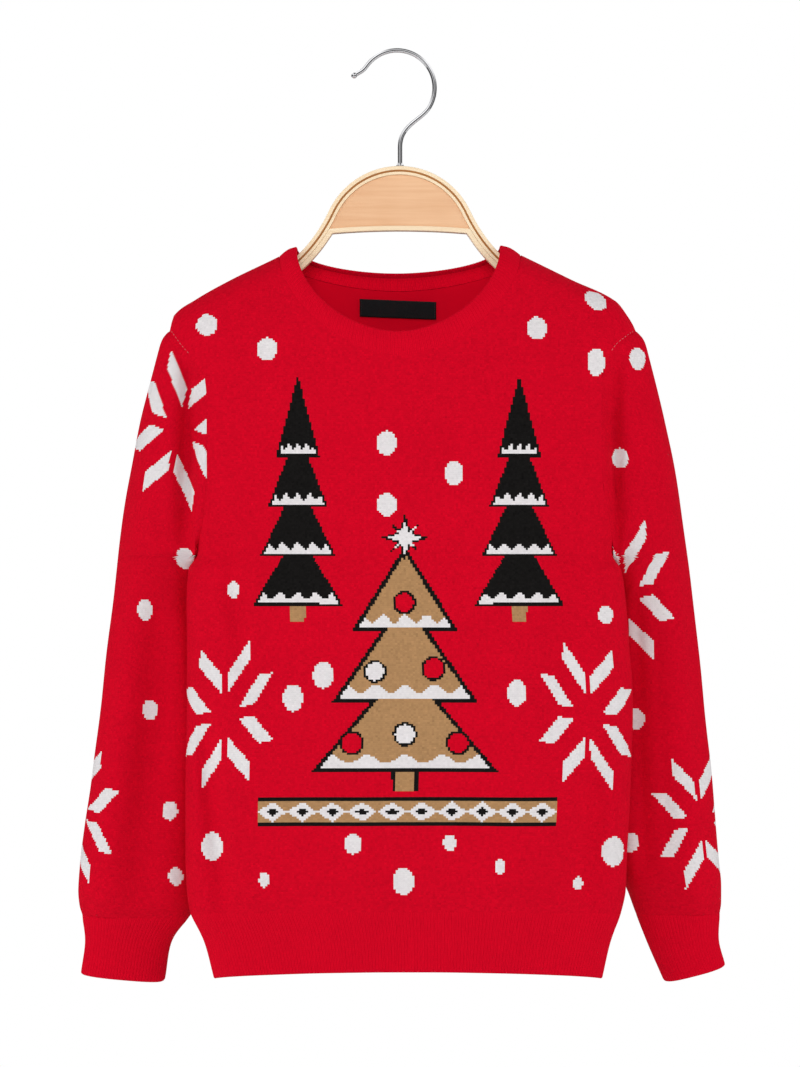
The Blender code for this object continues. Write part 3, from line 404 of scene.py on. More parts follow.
SMALL_TRUNK_DROP = 0.011
BORDER_LEFT = -0.0960
BORDER_RIGHT = 0.1100
BORDER_Z = -0.5270
BORDER_HALF = 0.0068
BORDER_PERIOD = 0.0206
DIAMOND_CORE = 0.42        # a diamond's dark middle against its size


# ---------------------------------------------------------------- numbers

def columns(names, rows):
    """A table as a dictionary of arrays, one for each named column."""
    return {name: np.array([row[i] for row in rows], float) for i, name in enumerate(names)}


def smooth(at, xs, ys):
    """Shape-keeping cubic through the points (xs, ys), flat past its ends."""
    order = np.argsort(xs)
    xs, ys = np.asarray(xs, float)[order], np.asarray(ys, float)[order]
    step = np.diff(xs)
    slope = np.diff(ys) / step
    turn = slope[:-1] * slope[1:]
    total = slope[:-1] + slope[1:]
    inner = np.where(turn > 0, 2 * turn / np.where(total == 0, 1, total), 0)
    tangent = np.concatenate(([slope[0]], inner, [slope[-1]]))
    at = np.clip(np.asarray(at, float), xs[0], xs[-1])
    i = np.clip(np.searchsorted(xs, at) - 1, 0, len(xs) - 2)
    t = (at - xs[i]) / step[i]
    return ((1 + 2 * t) * (1 - t) ** 2 * ys[i] + t * (1 - t) ** 2 * step[i] * tangent[i]
            + t * t * (3 - 2 * t) * ys[i + 1] - t * t * (1 - t) * step[i] * tangent[i + 1])


def hermite(t, start, leave, arrive, end):
    """Smooth way from start to end with the given slopes there, at t from 0 to 1."""
    return ((1 + 2 * t) * (1 - t) ** 2 * start + t * (1 - t) ** 2 * leave
            + t * t * (3 - 2 * t) * end - t * t * (1 - t) * arrive)


def ease(t):
    t = np.clip(t, 0, 1)
    return t * t * (3 - 2 * t)


def lengths(points):
    """Distance along a polyline, or along the first axis of a grid of points."""
    steps = np.linalg.norm(np.diff(points, axis=0), axis=-1)
    return np.concatenate((np.zeros((1,) + steps.shape[1:]), np.cumsum(steps, axis=0)))


def points_at(line, length, at):
    """Points of a polyline at the given distances along it."""
    return np.stack([np.interp(at, length, line[:, k]) for k in range(line.shape[1])], axis=1)


def unit(vectors):
    return vectors / np.maximum(np.linalg.norm(vectors, axis=-1), 1e-12)[..., None]


BODY = columns(BODY_COLUMNS, BODY_ROWS)
ARMHOLE = columns(ARMHOLE_COLUMNS, ARMHOLE_ROWS)
TOP = columns(TOP_COLUMNS, TOP_ROWS)


# ---------------------------------------------------------------- the body's surface

def top_height(x):
    return smooth(x, TOP["x"], TOP["z"])


def sides(z):
    return smooth(z, BODY["z"], BODY["left"]), smooth(z, BODY["z"], BODY["right"])


def fold_depth(x, z, rows):
    """Sum of the troughs and ridges at (x, z); each fades out towards its two ends."""
    total = np.zeros(np.broadcast(x, z).shape)
    for x_top, z_top, x_low, z_low, width, depth in rows:
        t = (z_top - z) / (z_top - z_low)
        middle = x_top + (x_low - x_top) * t
        fade = np.clip(4 * t * (1 - t), 0, 1) ** 0.6
        total = total + depth * fade * np.exp(-((x - middle) / width) ** 2)
    return total


def unevenness(x, z):
    """The slight waviness of soft cloth, under half a millimetre."""
    return (0.00022 * np.sin(61 * x + 23 * z + 0.6) * np.sin(47 * z - 18 * x)
            + 0.00014 * np.sin(133 * x - 71 * z + 1.9))


def body_depth(x, z, front):
    """How far the body's outer surface is from the middle plane at (x, z)."""
    left, right = sides(z)
    power = FRONT_POWER if front else BACK_POWER
    across = np.clip(abs(x - (left + right) / 2) / ((right - left) / 2), 0, 1)
    rounding = (1 - across ** power) ** (1 / power)
    below = np.maximum(top_height(x) - z, 0)
    ridge = np.sqrt(1 - (1 - np.clip(below / RIDGE_RADIUS, 0, 1)) ** 2)
    full = smooth(z, BODY["z"], BODY["front" if front else "back"])
    fill = FRONT_FILL if front else BACK_FILL
    depth = RIDGE_RADIUS * ridge + (full - RIDGE_RADIUS) * (1 - np.exp(-below / fill))
    folds = fold_depth(x, z, FRONT_FOLDS if front else BACK_FOLDS)
    wave = unevenness(x, z) * ease(below / 0.03)
    return (depth - folds - wave) * rounding


def on_body(x, z, front):
    x, z = np.broadcast_arrays(np.asarray(x, float), np.asarray(z, float))
    depth = body_depth(x, z, front)
    return np.stack((x, -depth if front else depth, z), axis=-1)


def body_normals(points, front):
    """Unit outward normals from the slope of the depth."""
    step = 0.0004
    x, z = points[..., 0], points[..., 2]
    across = (body_depth(x + step, z, front) - body_depth(x - step, z, front)) / (2 * step)
    up = (body_depth(x, z + step, front) - body_depth(x, z - step, front)) / (2 * step)
    out = np.full(x.shape, -1.0 if front else 1.0)
    return unit(np.stack((-across, out, -up), axis=-1))


def neck_curve(x, front, seam):
    """Height of the neck's seam or free edge at x."""
    left = NECK_LEFT_SEAM if seam else NECK_LEFT_EDGE
    right = NECK_RIGHT_SEAM if seam else NECK_RIGHT_EDGE
    power = NECK_SEAM_POWER if seam else NECK_EDGE_POWER
    if front:
        drop = FRONT_SEAM_DROP if seam else FRONT_EDGE_DROP
    else:
        drop = BACK_SEAM_DROP if seam else BACK_EDGE_DROP
    reach = np.clip((x - (left + right) / 2) / ((right - left) / 2), -1, 1)
    start, end = top_height(left), top_height(right)
    return start + (end - start) * (1 + reach) / 2 - drop * (1 - abs(reach) ** power) ** (1 / power)


# ---------------------------------------------------------------- body panels

FIGURE_STRETCH = 0.75      # least share of its length that a step counts in a figure
SLEEVE_STRETCH = 0.5       # and on a sleeve
YOKE_BLEND = 0.080         # height over which the columns even out above the armpits
PATH_SAMPLES = 260
WELD = 0.0004              # points nearer than this at a clamped edge are one
INSIDE_PAINTED_LIGHT = 1.45        # painted light: the inside's red made this much lighter than the outside's, standing in for light that reaches the inside


def panel_shares(front, stitch):
    """Column positions from 0 to 1 across the body, one stitch apart along the armpit section."""
    share = (1 - np.cos(math.pi * np.linspace(0, 1, 4001))) / 2
    left, right = sides(ARMPIT_Z)
    section = on_body(left + (right - left) * share, ARMPIT_Z, front)
    length = lengths(section)
    count = int(round(length[-1] / stitch))
    return np.interp(np.linspace(0, length[-1], count + 1), length, share)


def panel_points(front, step):
    """Grid of points on a panel from the hem rib up, and where each of its points is welded to.

    Above the armpits, points past the armhole, shoulder or neck lie on that line.
    """
    wide, high = STITCH_W * step, STITCH_H * step
    share = panel_shares(front, wide)
    lift = (FRONT_LIFT if front else BACK_LIFT)[0]
    count = int(round((ARMPIT_Z - PANEL_LOW_Z) / high))
    level = np.linspace(PANEL_LOW_Z, ARMPIT_Z, count + 1)[:-1, None]
    left, right = sides(level)
    arch = np.sqrt(4 * share * (1 - share))
    lower = on_body(left + (right - left) * share,
                    level + lift * arch * (ARMPIT_Z - level) / (ARMPIT_Z - PANEL_LOW_Z), front)

    left, right = sides(ARMPIT_Z)
    low_x = left + (right - left) * share
    middle = len(share) // 2
    high_x = low_x[middle] + (np.arange(len(share)) - middle) * wide
    tip_left, tip_right = ARMHOLE["left"][0], ARMHOLE["right"][0]
    end_x = np.clip(high_x, tip_left, tip_right)
    in_neck = (end_x > NECK_LEFT_SEAM) & (end_x < NECK_RIGHT_SEAM)
    end_z = np.where(in_neck, neck_curve(end_x, front, True), top_height(end_x))
    t = np.linspace(0, 1, PATH_SAMPLES)[:, None]
    z = ARMPIT_Z + (end_z - ARMPIT_Z) * (1 - (1 - t) ** 2.4)
    blend = ease((z - ARMPIT_Z) / YOKE_BLEND)
    x = low_x * (1 - blend) + high_x * blend
    x = np.clip(x, smooth(z, ARMHOLE["z"], ARMHOLE["left"]), smooth(z, ARMHOLE["z"], ARMHOLE["right"]))
    path = on_body(x, z, front)
    length = lengths(path)

    last = np.maximum(np.round(length[-1] / high), 1).astype(int)
    upper = np.zeros((last.max() + 1, len(share), 3))
    for j in range(len(share)):
        at = np.minimum(np.arange(last.max() + 1) * high, length[-1, j])
        at[last[j]:] = length[-1, j]
        upper[:, j] = points_at(path[:, j], length[:, j], at)
    upper[..., 1] = on_body(upper[..., 0], upper[..., 2], front)[..., 1]
    points = np.concatenate((lower, upper))

    rows, cols = points.shape[:2]
    weld = np.arange(rows * cols).reshape(rows, cols)
    top = len(lower) + last
    for j in range(cols):
        weld[top[j]:, j] = weld[top[j], j]
    for i in range(len(lower) + 1, rows):
        near = np.linalg.norm(points[i, 1:] - points[i, :-1], axis=-1) < WELD
        for j in range(middle, 0, -1):
            if near[j - 1]:
                weld[i, j - 1] = weld[i, j]
        for j in range(middle, cols - 1):
            if near[j]:
                weld[i, j + 1] = weld[i, j]
    return points, weld


def shown(steps, along, least=FIGURE_STRETCH):
    """Length of steps as a figure counts them: their extent on one axis, or a part of their own."""
    return np.maximum(abs(steps[..., along]), least * np.linalg.norm(steps, axis=-1))


def panel_chart(points):
    """Figure coordinates of a panel's points, in metres to +X and up."""
    rows, cols = points.shape[:2]
    middle = cols // 2
    across = np.zeros((rows, cols))
    across[:, 1:] = np.cumsum(shown(np.diff(points, axis=1), 0), axis=1)
    across += (points[:, middle, 0] - across[:, middle])[:, None]
    up = np.zeros((rows, cols))
    up[1:] = np.cumsum(shown(np.diff(points, axis=0), 2), axis=0)
    low = int(round((ARMPIT_Z - PANEL_LOW_Z) / STITCH_H))
    up += (points[low, middle, 2] - up[low])[None, :]
    return across, up


# ---------------------------------------------------------------- sleeves

def ring_points(table, folds, at, turns):
    """Points of the sleeve's ring at a fractional row of its table, at the given turns."""
    rows = np.arange(len(next(iter(table.values()))))
    row = {name: smooth(at, rows, values)[..., None] for name, values in table.items()}
    cos, sin = np.cos(turns), np.sin(turns)
    power = np.where(cos < 0, SLEEVE_INNER_POWER, SLEEVE_POWER)
    reach = np.sign(cos) * abs(cos) ** (2 / power)
    swell = np.sign(sin) * abs(sin) ** (2 / power)
    share = (1 + reach) / 2
    x = row["in_x"] + (row["out_x"] - row["in_x"]) * share + row["bow"] * sin * sin
    z = row["in_z"] + (row["out_z"] - row["in_z"]) * share
    y = row["y"] + row["tuck"] * (1 - share) ** 2 - np.where(swell > 0, row["front"], row["back"]) * swell
    points = np.stack((x, y, z), axis=-1)
    inward = unit(points.mean(axis=-2, keepdims=True) - points)
    depth = np.zeros(turns.shape)
    for angle, first, last, width, deep in folds:
        t = np.asarray(at)[..., None]
        t = (t - first) / (last - first)
        fade = np.clip(4 * t * (1 - t), 0, 1) ** 0.6
        depth = depth + deep * fade * np.exp(-((np.degrees(turns) - angle) / width) ** 2)
    depth = depth + SLEEVE_WAVE * unevenness(x, z) * ease(np.asarray(at)[..., None] / 3)
    return points + inward * depth[..., None]


def armhole_turns(turns):
    """Turns round the armhole seam for the sleeve's columns at the given even turns."""
    half = np.arccos(2 * np.array(YOKE_STEPS[::-1], float) - 1)
    seam = np.concatenate((half, 2 * math.pi - half[::-1][1:]))
    return smooth(turns, np.linspace(0, 2 * math.pi, len(seam)), seam)


def armhole_point(side, z, front):
    return on_body(smooth(z, ARMHOLE["z"], ARMHOLE[side]), z, front)


def sleeve_rings(side, rows, folds, troughs):
    """Dense rings of a sleeve, from the armhole seam down to the cuff."""
    table = columns(SLEEVE_COLUMNS, rows)
    even = np.linspace(0, 2 * math.pi, 361)
    seam_turns = armhole_turns(even)
    z = ARMPIT_Z + (SHOULDER_Z - ARMPIT_Z) * (1 + np.cos(seam_turns)) / 2
    armhole = np.where((even < math.pi)[:, None], armhole_point(side, z, True),
                       armhole_point(side, z, False))

    def turned(s):
        return seam_turns + (even - seam_turns) * min(s / SLEEVE_EVEN_FROM, 1)

    first = ring_points(table, folds, np.array(0.0), turned(1))
    start = first - armhole
    spread = np.where(even < math.pi, np.sqrt(np.clip(np.sin(even), 0, 1)), 0)[:, None]
    outwards = np.array((-CAP_ASIDE if side == "left" else CAP_ASIDE, 0, 0))
    aside = outwards * np.linalg.norm(start, axis=1)[:, None]
    start = start * (1 - CAP_GIVEN_UP * spread) + aside * spread
    leave = (ring_points(table, folds, np.array(CAP_STEP), turned(1 + CAP_STEP)) - first) / CAP_STEP
    rings = []
    for s in np.linspace(0, len(rows), RINGS_A_ROW * len(rows) + 1):
        if s < 1:
            rings.append(hermite(s, armhole, start, leave, first))
        else:
            rings.append(ring_points(table, folds, np.array(s - 1), turned(s)))
        fade = ease(s / TROUGH_FADE) * np.where(even < math.pi, 1, 0)
        rings[-1][:, 1] += fade * fold_depth(rings[-1][:, 0], rings[-1][:, 2], troughs)
    return np.array(rings)


def level_sections(side, rings, front):
    """Half sections of a sleeve at even heights, from its outermost to its innermost line.

    Gives the heights, the points by share of arc, the arcs, and figure lengths by share.
    """
    half = rings.shape[1] // 2
    part = rings[:, :half + 1] if front else rings[:, :half - 1:-1]
    falling = np.minimum.accumulate(part[..., 2], axis=0)
    low = falling[-1].max()
    heights = np.linspace(low, SHOULDER_Z, SECTION_LEVELS)
    share = np.linspace(0, 1, SECTION_POINTS)
    sections, arcs, figure = [], [], []
    for z in heights:
        reached = falling[0] >= z
        line = np.stack([[np.interp(-z, -falling[:, j], part[:, j, k]) for k in (0, 1)]
                         for j in np.flatnonzero(reached)] or [armhole_point(side, z, front)[:2]])
        if z > ARMPIT_Z:
            seam = armhole_point(side, z, front)[:2]
            dive = SEAM_SLOPE * abs(line[1:, 0] - seam[0])
            line[1:, 1] = np.minimum(line[1:, 1], seam[1] + dive) if front else \
                np.maximum(line[1:, 1], seam[1] - dive)
            line = np.concatenate((line, seam[None]))
        steps = np.diff(line, axis=0)
        length = lengths(line)
        counted = np.concatenate(([0], np.cumsum(shown(steps, 0, SLEEVE_STRETCH))))
        at = share * length[-1]
        sections.append(np.column_stack((points_at(line, length, at), np.full(share.shape, z))))
        figure.append(np.interp(at, length, counted))
        arcs.append(length[-1])
    return heights, np.array(sections), np.array(arcs), np.array(figure)


def between(table, heights, z, share):
    """The table's value at each (z, share), between its own levels and shares."""
    level = np.clip((z - heights[0]) / (heights[-1] - heights[0]), 0, 1) * (len(heights) - 1)
    place = np.clip(share, 0, 1) * (table.shape[1] - 1)
    i = np.minimum(level.astype(int), len(heights) - 2)
    j = np.minimum(place.astype(int), table.shape[1] - 2)
    t, w = level - i, place - j
    if table.ndim == 3:
        t, w = t[..., None], w[..., None]
    return ((1 - t) * ((1 - w) * table[i, j] + w * table[i, j + 1])
            + t * ((1 - w) * table[i + 1, j] + w * table[i + 1, j + 1]))


def sleeve_half(sections, step):
    """Half a sleeve as a grid, its columns from the outermost line to the innermost.

    Gives its points, normals, figure lengths, heights and the armpit's row.  Above the armpit,
    columns that would pass the armhole seam lie on it.
    """
    heights, table, arcs, figure = sections
    count = int(round(np.interp(SLEEVE_COUNT_Z, heights, arcs) / (STITCH_W * step)))
    low_rows = int(round((ARMPIT_Z - heights[0]) / (STITCH_H * step)))
    high_rows = int(round(CAP_ARC * (SHOULDER_Z - ARMPIT_Z) / (STITCH_H * step)))
    z = np.concatenate((np.linspace(heights[0], ARMPIT_Z, low_rows + 1),
                        np.linspace(ARMPIT_Z, SHOULDER_Z, high_rows + 1)[1:]))[:, None]
    share = np.linspace(0, 1, count + 1)
    arc = np.interp(z, heights, arcs)
    at_armpit = np.interp(ARMPIT_Z, heights, arcs)
    blend = ease((z - ARMPIT_Z) / SLEEVE_BLEND)
    along = np.clip(share * (1 + (at_armpit / np.maximum(arc, 1e-6) - 1) * blend), 0, 1)
    z = np.broadcast_to(z, along.shape)
    up = np.gradient(table, axis=0)
    across = np.gradient(table, axis=1)
    out = unit(np.cross(across, up))
    out[-8:] = out[-9]
    points = between(table, heights, z, along)
    normals = unit(between(out, heights, z, along))
    return points, normals, between(figure, heights, z, along), z, low_rows


def sleeve_grid(side, rings, step):
    """Grid of a whole sleeve from the back's innermost column round to the front's.

    Gives points, outward normals, the figure coordinates u and v, and the welded indices.
    """
    halves = [sleeve_half(level_sections(side, rings, front), step) for front in (True, False)]
    outward = 1 if side == "left" else -1
    (front, front_normals, front_u, z, low_rows), (back, back_normals, back_u, back_z, _) = halves
    points = np.concatenate((back[:, :0:-1], front), axis=1)
    normals = np.concatenate((-outward * back_normals[:, :0:-1], outward * front_normals), axis=1)
    u = np.concatenate((-back_u[:, :0:-1], front_u), axis=1)
    v = np.concatenate((back_z[:, :0:-1], z), axis=1)
    rows, cols = points.shape[:2]
    weld = np.arange(rows * cols).reshape(rows, cols)
    middle = back.shape[1] - 1
    same = np.linalg.norm(np.diff(points, axis=1), axis=-1) < WELD / 4
    for j in range(middle, cols - 1):
        weld[:, j + 1] = np.where(same[:, j], weld[:, j], weld[:, j + 1])
    for j in range(middle, 0, -1):
        weld[:, j - 1] = np.where(same[:, j - 1], weld[:, j], weld[:, j - 1])
    weld[:low_rows + 1, 0] = weld[:low_rows + 1, -1]
    seam = unit(normals[:low_rows + 1, 0] + normals[:low_rows + 1, -1])
    normals[:low_rows + 1, 0] = normals[:low_rows + 1, -1] = seam
    weld[-1] = weld[-1, middle]
    return points, normals, u, v, weld


def grid_normals(points, wrap, outward):
    """Unit normals of a grid by its neighbours; outward is 1 or -1 for its handedness."""
    down = np.gradient(points, axis=0)
    if wrap:
        across = (np.roll(points, -1, axis=1) - np.roll(points, 1, axis=1)) / 2
    else:
        across = np.gradient(points, axis=1)
    return unit(np.cross(across, down)) * outward


# ---------------------------------------------------------------- the figures' shapes

def in_dots(yarn, u, v, dots):
    for x, z, width, height in dots:
        yarn[((u - x) / (width / 2)) ** 2 + ((v - z) / (height / 2)) ** 2 < 1] = WHITE


def in_flakes(yarn, u, v, flakes):
    for x, z, half, slant, turn in flakes:
        cos, sin = math.cos(math.radians(turn)), math.sin(math.radians(turn))
        right, high = (u - x) * cos - (v - z) * sin, (u - x) * sin + (v - z) * cos
        out = abs(right) / half
        up = abs(high - slant * right) / half
        for petals, a, b in ((UPRIGHT_PETALS, out, up), (LYING_PETALS, up, out)):
            over = b - petals["start"] - petals["slope"] * (a - petals["gap"])
            yarn[(a > petals["gap"]) & (a < petals["reach"]) & (over > 0) & (over < petals["thick"])] = WHITE


def tiers_mask(u, v, tiers, inset):
    mask = np.zeros(u.shape, bool)
    for low, high, half in tiers:
        width = half * (high - v) / (high - low) - TIER_INSET * inset
        mask |= (v > low + inset) & (abs(u) < width)
    return mask


def tree(yarn, u, v, tiers, fill, outline, snow):
    """A fir of stacked tiers with scalloped snow along the lower edge of each."""
    whole = tiers_mask(u, v, tiers, 0)
    inside = tiers_mask(u, v, tiers, outline)
    yarn[whole] = BLACK
    yarn[inside] = fill
    for k, (low, high, half) in enumerate(tiers):
        own = (v > low + outline) & (abs(u) < half * (high - v) / (high - low) - TIER_INSET * outline)
        covered = tiers_mask(u, v, tiers[k + 1:], 0) if k + 1 < len(tiers) else np.zeros(u.shape, bool)
        rise = low + outline + snow * (1 + SCALLOP_WAVE * np.cos(2 * math.pi * u / (half / SCALLOPS)))
        yarn[own & ~covered & (v < rise)] = WHITE


def picture(yarn, u, v):
    """A tall decorated fir between two small ones, over a border of diamonds."""
    yarn[(abs(u - TREE_X) < TRUNK_HALF) & (v > TRUNK_LOW_Z) & (v < TREE_TIERS[0][0] + OUTLINE)] = BLACK
    yarn[(abs(u - TREE_X) < TRUNK_HALF - OUTLINE) & (v > TRUNK_LOW_Z) & (v < TREE_TIERS[0][0])] = TAN
    tree(yarn, u - TREE_X, v, TREE_TIERS, TAN, OUTLINE, TREE_SNOW)
    for x, z, radius, colour in BAUBLES:
        away = np.hypot(u - x, v - z)
        yarn[away < radius + OUTLINE * BAUBLE_RIM] = BLACK
        yarn[away < radius] = colour
    star_u, star_v = abs(u - TREE_X), abs(v - STAR_Z)
    for radius, colour in ((STAR_RADIUS + STAR_RIM * OUTLINE, BLACK), (STAR_RADIUS, WHITE)):
        spikes = np.minimum(star_u + STAR_SPIKES * star_v, STAR_SPIKES * star_u + star_v) < radius
        cross = np.maximum(star_u, star_v) + STAR_CROSS * abs(star_u - star_v) < radius * STAR_CROSS_REACH
        yarn[spikes | cross] = colour
    foot = SMALL_TIERS[0][0]
    for x in SMALL_TREES_X:
        yarn[(abs(u - x) < SMALL_TRUNK_HALF) & (v > foot - SMALL_TRUNK_DROP) & (v < foot)] = TAN
        tree(yarn, u - x, v, SMALL_TIERS, BLACK, SMALL_OUTLINE, SMALL_SNOW)
    within = (u > BORDER_LEFT) & (u < BORDER_RIGHT)
    level = abs(v[:, v.shape[1] // 2, None] - BORDER_Z)
    phase = abs(((u - BORDER_LEFT) / BORDER_PERIOD) % 1 - 0.5) * 2
    yarn[within & (level < BORDER_HALF + OUTLINE)] = BLACK
    yarn[within & (level < BORDER_HALF)] = TAN
    yarn[within & (phase + level / BORDER_HALF < 1.0)] = WHITE
    yarn[within & (phase + level / BORDER_HALF < DIAMOND_CORE)] = BLACK


def middles(grid):
    return (grid[:-1, :-1] + grid[1:, 1:]) / 2


def on_chart(rows, centre, u, v, seen):
    """The figures' rows with the (x, z) at which they show changed to the chart's (u, v) there."""
    moved = []
    for x, z, *rest in rows:
        away = np.where(seen, (centre[..., 0] - x) ** 2 + (centre[..., 2] - z) ** 2, 1)
        at = np.unravel_index(np.argmin(away), away.shape)
        moved.append((u[at] + x - centre[at][0], v[at] + z - centre[at][2], *rest))
    return moved


def panel_yarn(front, points):
    """Yarn of every stitch of a panel."""
    u, v = (middles(chart) for chart in panel_chart(points))
    centre = middles(points)
    yarn = np.zeros(u.shape, int)
    for place, rows in ((in_dots, FRONT_DOTS if front else BACK_DOTS),
                        (in_flakes, FRONT_FLAKES if front else BACK_FLAKES)):
        place(yarn, u, v, on_chart(rows, centre, u, v, True))
    if front:
        picture(yarn, u, v)
    return yarn


def sleeve_yarn(side, points, normals, u, v, figures):
    """Yarn of every stitch of a sleeve.  figures holds the front's dots and flakes, then the back's."""
    centre, u, v = middles(points), middles(u), middles(v)
    girth = np.where(v[:, :1] < ARMPIT_Z, u[:, -1:] - u[:, :1], 10)
    edge = centre[np.arange(len(u)), abs(u).argmin(axis=1), 0][:, None]
    yarn = np.zeros(u.shape, int)
    for facing, tables in ((-1, figures[:2]), (1, figures[2:])):
        seen = facing * middles(normals)[..., 1] > 0.05
        chart = edge + u * (1 if (side == "left") == (facing < 0) else -1)
        for place, table in zip((in_dots, in_flakes), tables):
            for x, z, *rest in on_chart(table, centre, chart, v, seen):
                near = (chart - x + girth / 2) % girth - girth / 2
                place(yarn, near, v, [(0.0, z, *rest)])
    return yarn


# ---------------------------------------------------------------- closed shells

def grid_quads(weld, wrap):
    """Faces of a grid as indices, with the row and column of each."""
    nxt = np.roll(weld, -1, axis=1) if wrap else weld[:, 1:]
    here = weld if wrap else weld[:, :-1]
    quads = np.stack((here[:-1], nxt[:-1], nxt[1:], here[1:]), axis=-1)
    place = np.stack(np.indices(quads.shape[:2]), axis=-1)
    return quads.reshape(-1, 4), place.reshape(-1, 2)


def split_faces(quads, place):
    """Quads and triangles out of quads that may have welded corners."""
    same = quads == np.roll(quads, -1, axis=1)
    whole = ~same.any(axis=1)
    single = same.sum(axis=1) == 1
    tris = []
    for row, dup in zip(quads[single], same[single]):
        tris.append([corner for corner, double in zip(row, dup) if not double])
    tris = np.array(tris, int).reshape(-1, 3)
    fine = (tris[:, 0] != tris[:, 2])
    return quads[whole], place[whole], tris[fine], place[single][fine]


def boundary_loops(faces):
    """Indices round each open edge of a surface, in the faces' own direction."""
    edges = np.concatenate([np.stack((face, np.roll(face, -1, axis=1)), axis=-1).reshape(-1, 2)
                            for face in faces if len(face)])
    size = edges.max() + 1
    key = edges[:, 0] * size + edges[:, 1]
    following = dict(edges[~np.isin(edges[:, 1] * size + edges[:, 0], key)].tolist())
    loops = []
    while following:
        start = next(iter(following))
        loop = [start]
        step = following.pop(start)
        while step != start:
            loop.append(step)
            step = following.pop(step)
        loops.append(loop)
    return loops


def start_at(loop, points, corner):
    """The loop begun at its point nearest the corner."""
    first = int(np.argmin(np.linalg.norm(points[loop] - corner, axis=1)))
    return loop[first:] + loop[:first]


def zipper(points, first, second):
    """Triangles between two loops that run alongside each other."""
    shares = []
    for loop in (first, second):
        length = lengths(points[loop + loop[:1]])
        shares.append(length / length[-1])
    i = j = 0
    tris = []
    while i < len(first) or j < len(second):
        a, b = first[i % len(first)], second[j % len(second)]
        if j >= len(second) or (i < len(first) and shares[0][i + 1] <= shares[1][j + 1]):
            tris.append((first[(i + 1) % len(first)], a, b))
            i += 1
        else:
            tris.append((a, b, second[(j + 1) % len(second)]))
            j += 1
    return np.array(tris)


def add_object(name, data, location, rotation):
    thing = bpy.data.objects.new(name, data)
    thing.location = location
    thing.rotation_euler = rotation
    bpy.context.scene.collection.objects.link(thing)
    return thing


def place_piece(name, data, material, location=(0, 0, 0), rotation=(0, 0, 0)):
    """A piece of the scene from its mesh or curve."""
    data.materials.append(material)
    piece = add_object(name, data, location, rotation)
    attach(piece, "root")
    return piece


def new_curve(name, bevel, resolution):
    curve = bpy.data.curves.new(name, "CURVE")
    curve.bevel_depth = bevel
    curve.bevel_resolution = resolution
    return curve


def add_line(curve, points):
    spline = curve.splines.new("POLY")
    spline.points.add(len(points) - 1)
    for point, place in zip(spline.points, points):
        point.co = (*place, 1)
    return spline


def make_mesh(name, points, parts, material, smooth_shade=True):
    """A mesh object.  A part is its faces, its stitch (u, v) or None, and its yarn colours or None."""
    mesh = bpy.data.meshes.new(name)
    used = np.unique(np.concatenate([faces.ravel() for faces, _, _ in parts if len(faces)]))
    renumber = np.full(len(points), -1)
    renumber[used] = np.arange(len(used))
    counts, corners, uvs, colours = [], [], [], []
    for faces, chart, colour in parts:
        if not len(faces):
            continue
        sides_of = faces.shape[1]
        counts.append(np.full(len(faces), sides_of))
        corners.append(renumber[faces].ravel())
        uvs.append(np.zeros((faces.size, 2)) if chart is None else chart.reshape(-1, 2))
        if colour is None:
            colour = np.tile(YARN_COLOURS[RED], (len(faces), 1))
        colours.append(np.repeat(colour, sides_of, axis=0))
    counts = np.concatenate(counts)
    corners = np.concatenate(corners)
    mesh.vertices.add(len(used))
    mesh.vertices.foreach_set("co", points[used].astype(np.float32).ravel())
    mesh.loops.add(len(corners))
    mesh.loops.foreach_set("vertex_index", corners.astype(np.int32))
    mesh.polygons.add(len(counts))
    starts = np.concatenate(([0], np.cumsum(counts)[:-1]))
    mesh.polygons.foreach_set("loop_start", starts.astype(np.int32))
    mesh.update(calc_edges=True)
    layer = mesh.uv_layers.new(name="stitches")
    layer.data.foreach_set("uv", np.concatenate(uvs).astype(np.float32).ravel())
    yarn = mesh.color_attributes.new("yarn", "FLOAT_COLOR", "CORNER")
    tint = np.concatenate(colours)
    tint = np.concatenate((tint, np.ones((len(tint), 1))), axis=1)
    yarn.data.foreach_set("color", tint.astype(np.float32).ravel())
    mesh.validate()
    if smooth_shade:
        mesh.shade_smooth()
        mesh.set_sharp_from_angle(angle=math.radians(55))
    return place_piece(name, mesh, material)


def stitch_uv(place):
    """Chart corners of the stitch faces, one unit a stitch, in the order of grid_quads."""
    row, col = place[:, 0:1], place[:, 1:2]
    u = np.concatenate((col, col + 1, col + 1, col), axis=1)
    v = np.concatenate((row, row, row + 1, row + 1), axis=1)
    return np.stack((u, v), axis=-1).astype(float)


def tinted(yarn, seed):
    """Colours of stitches, each a little lighter or darker than its yarn."""
    rng = np.random.default_rng(seed)
    colour = np.array(YARN_COLOURS)[yarn]
    spread = np.array(YARN_SPREAD)[yarn]
    return colour * (1 + spread * rng.standard_normal(yarn.shape))[..., None]


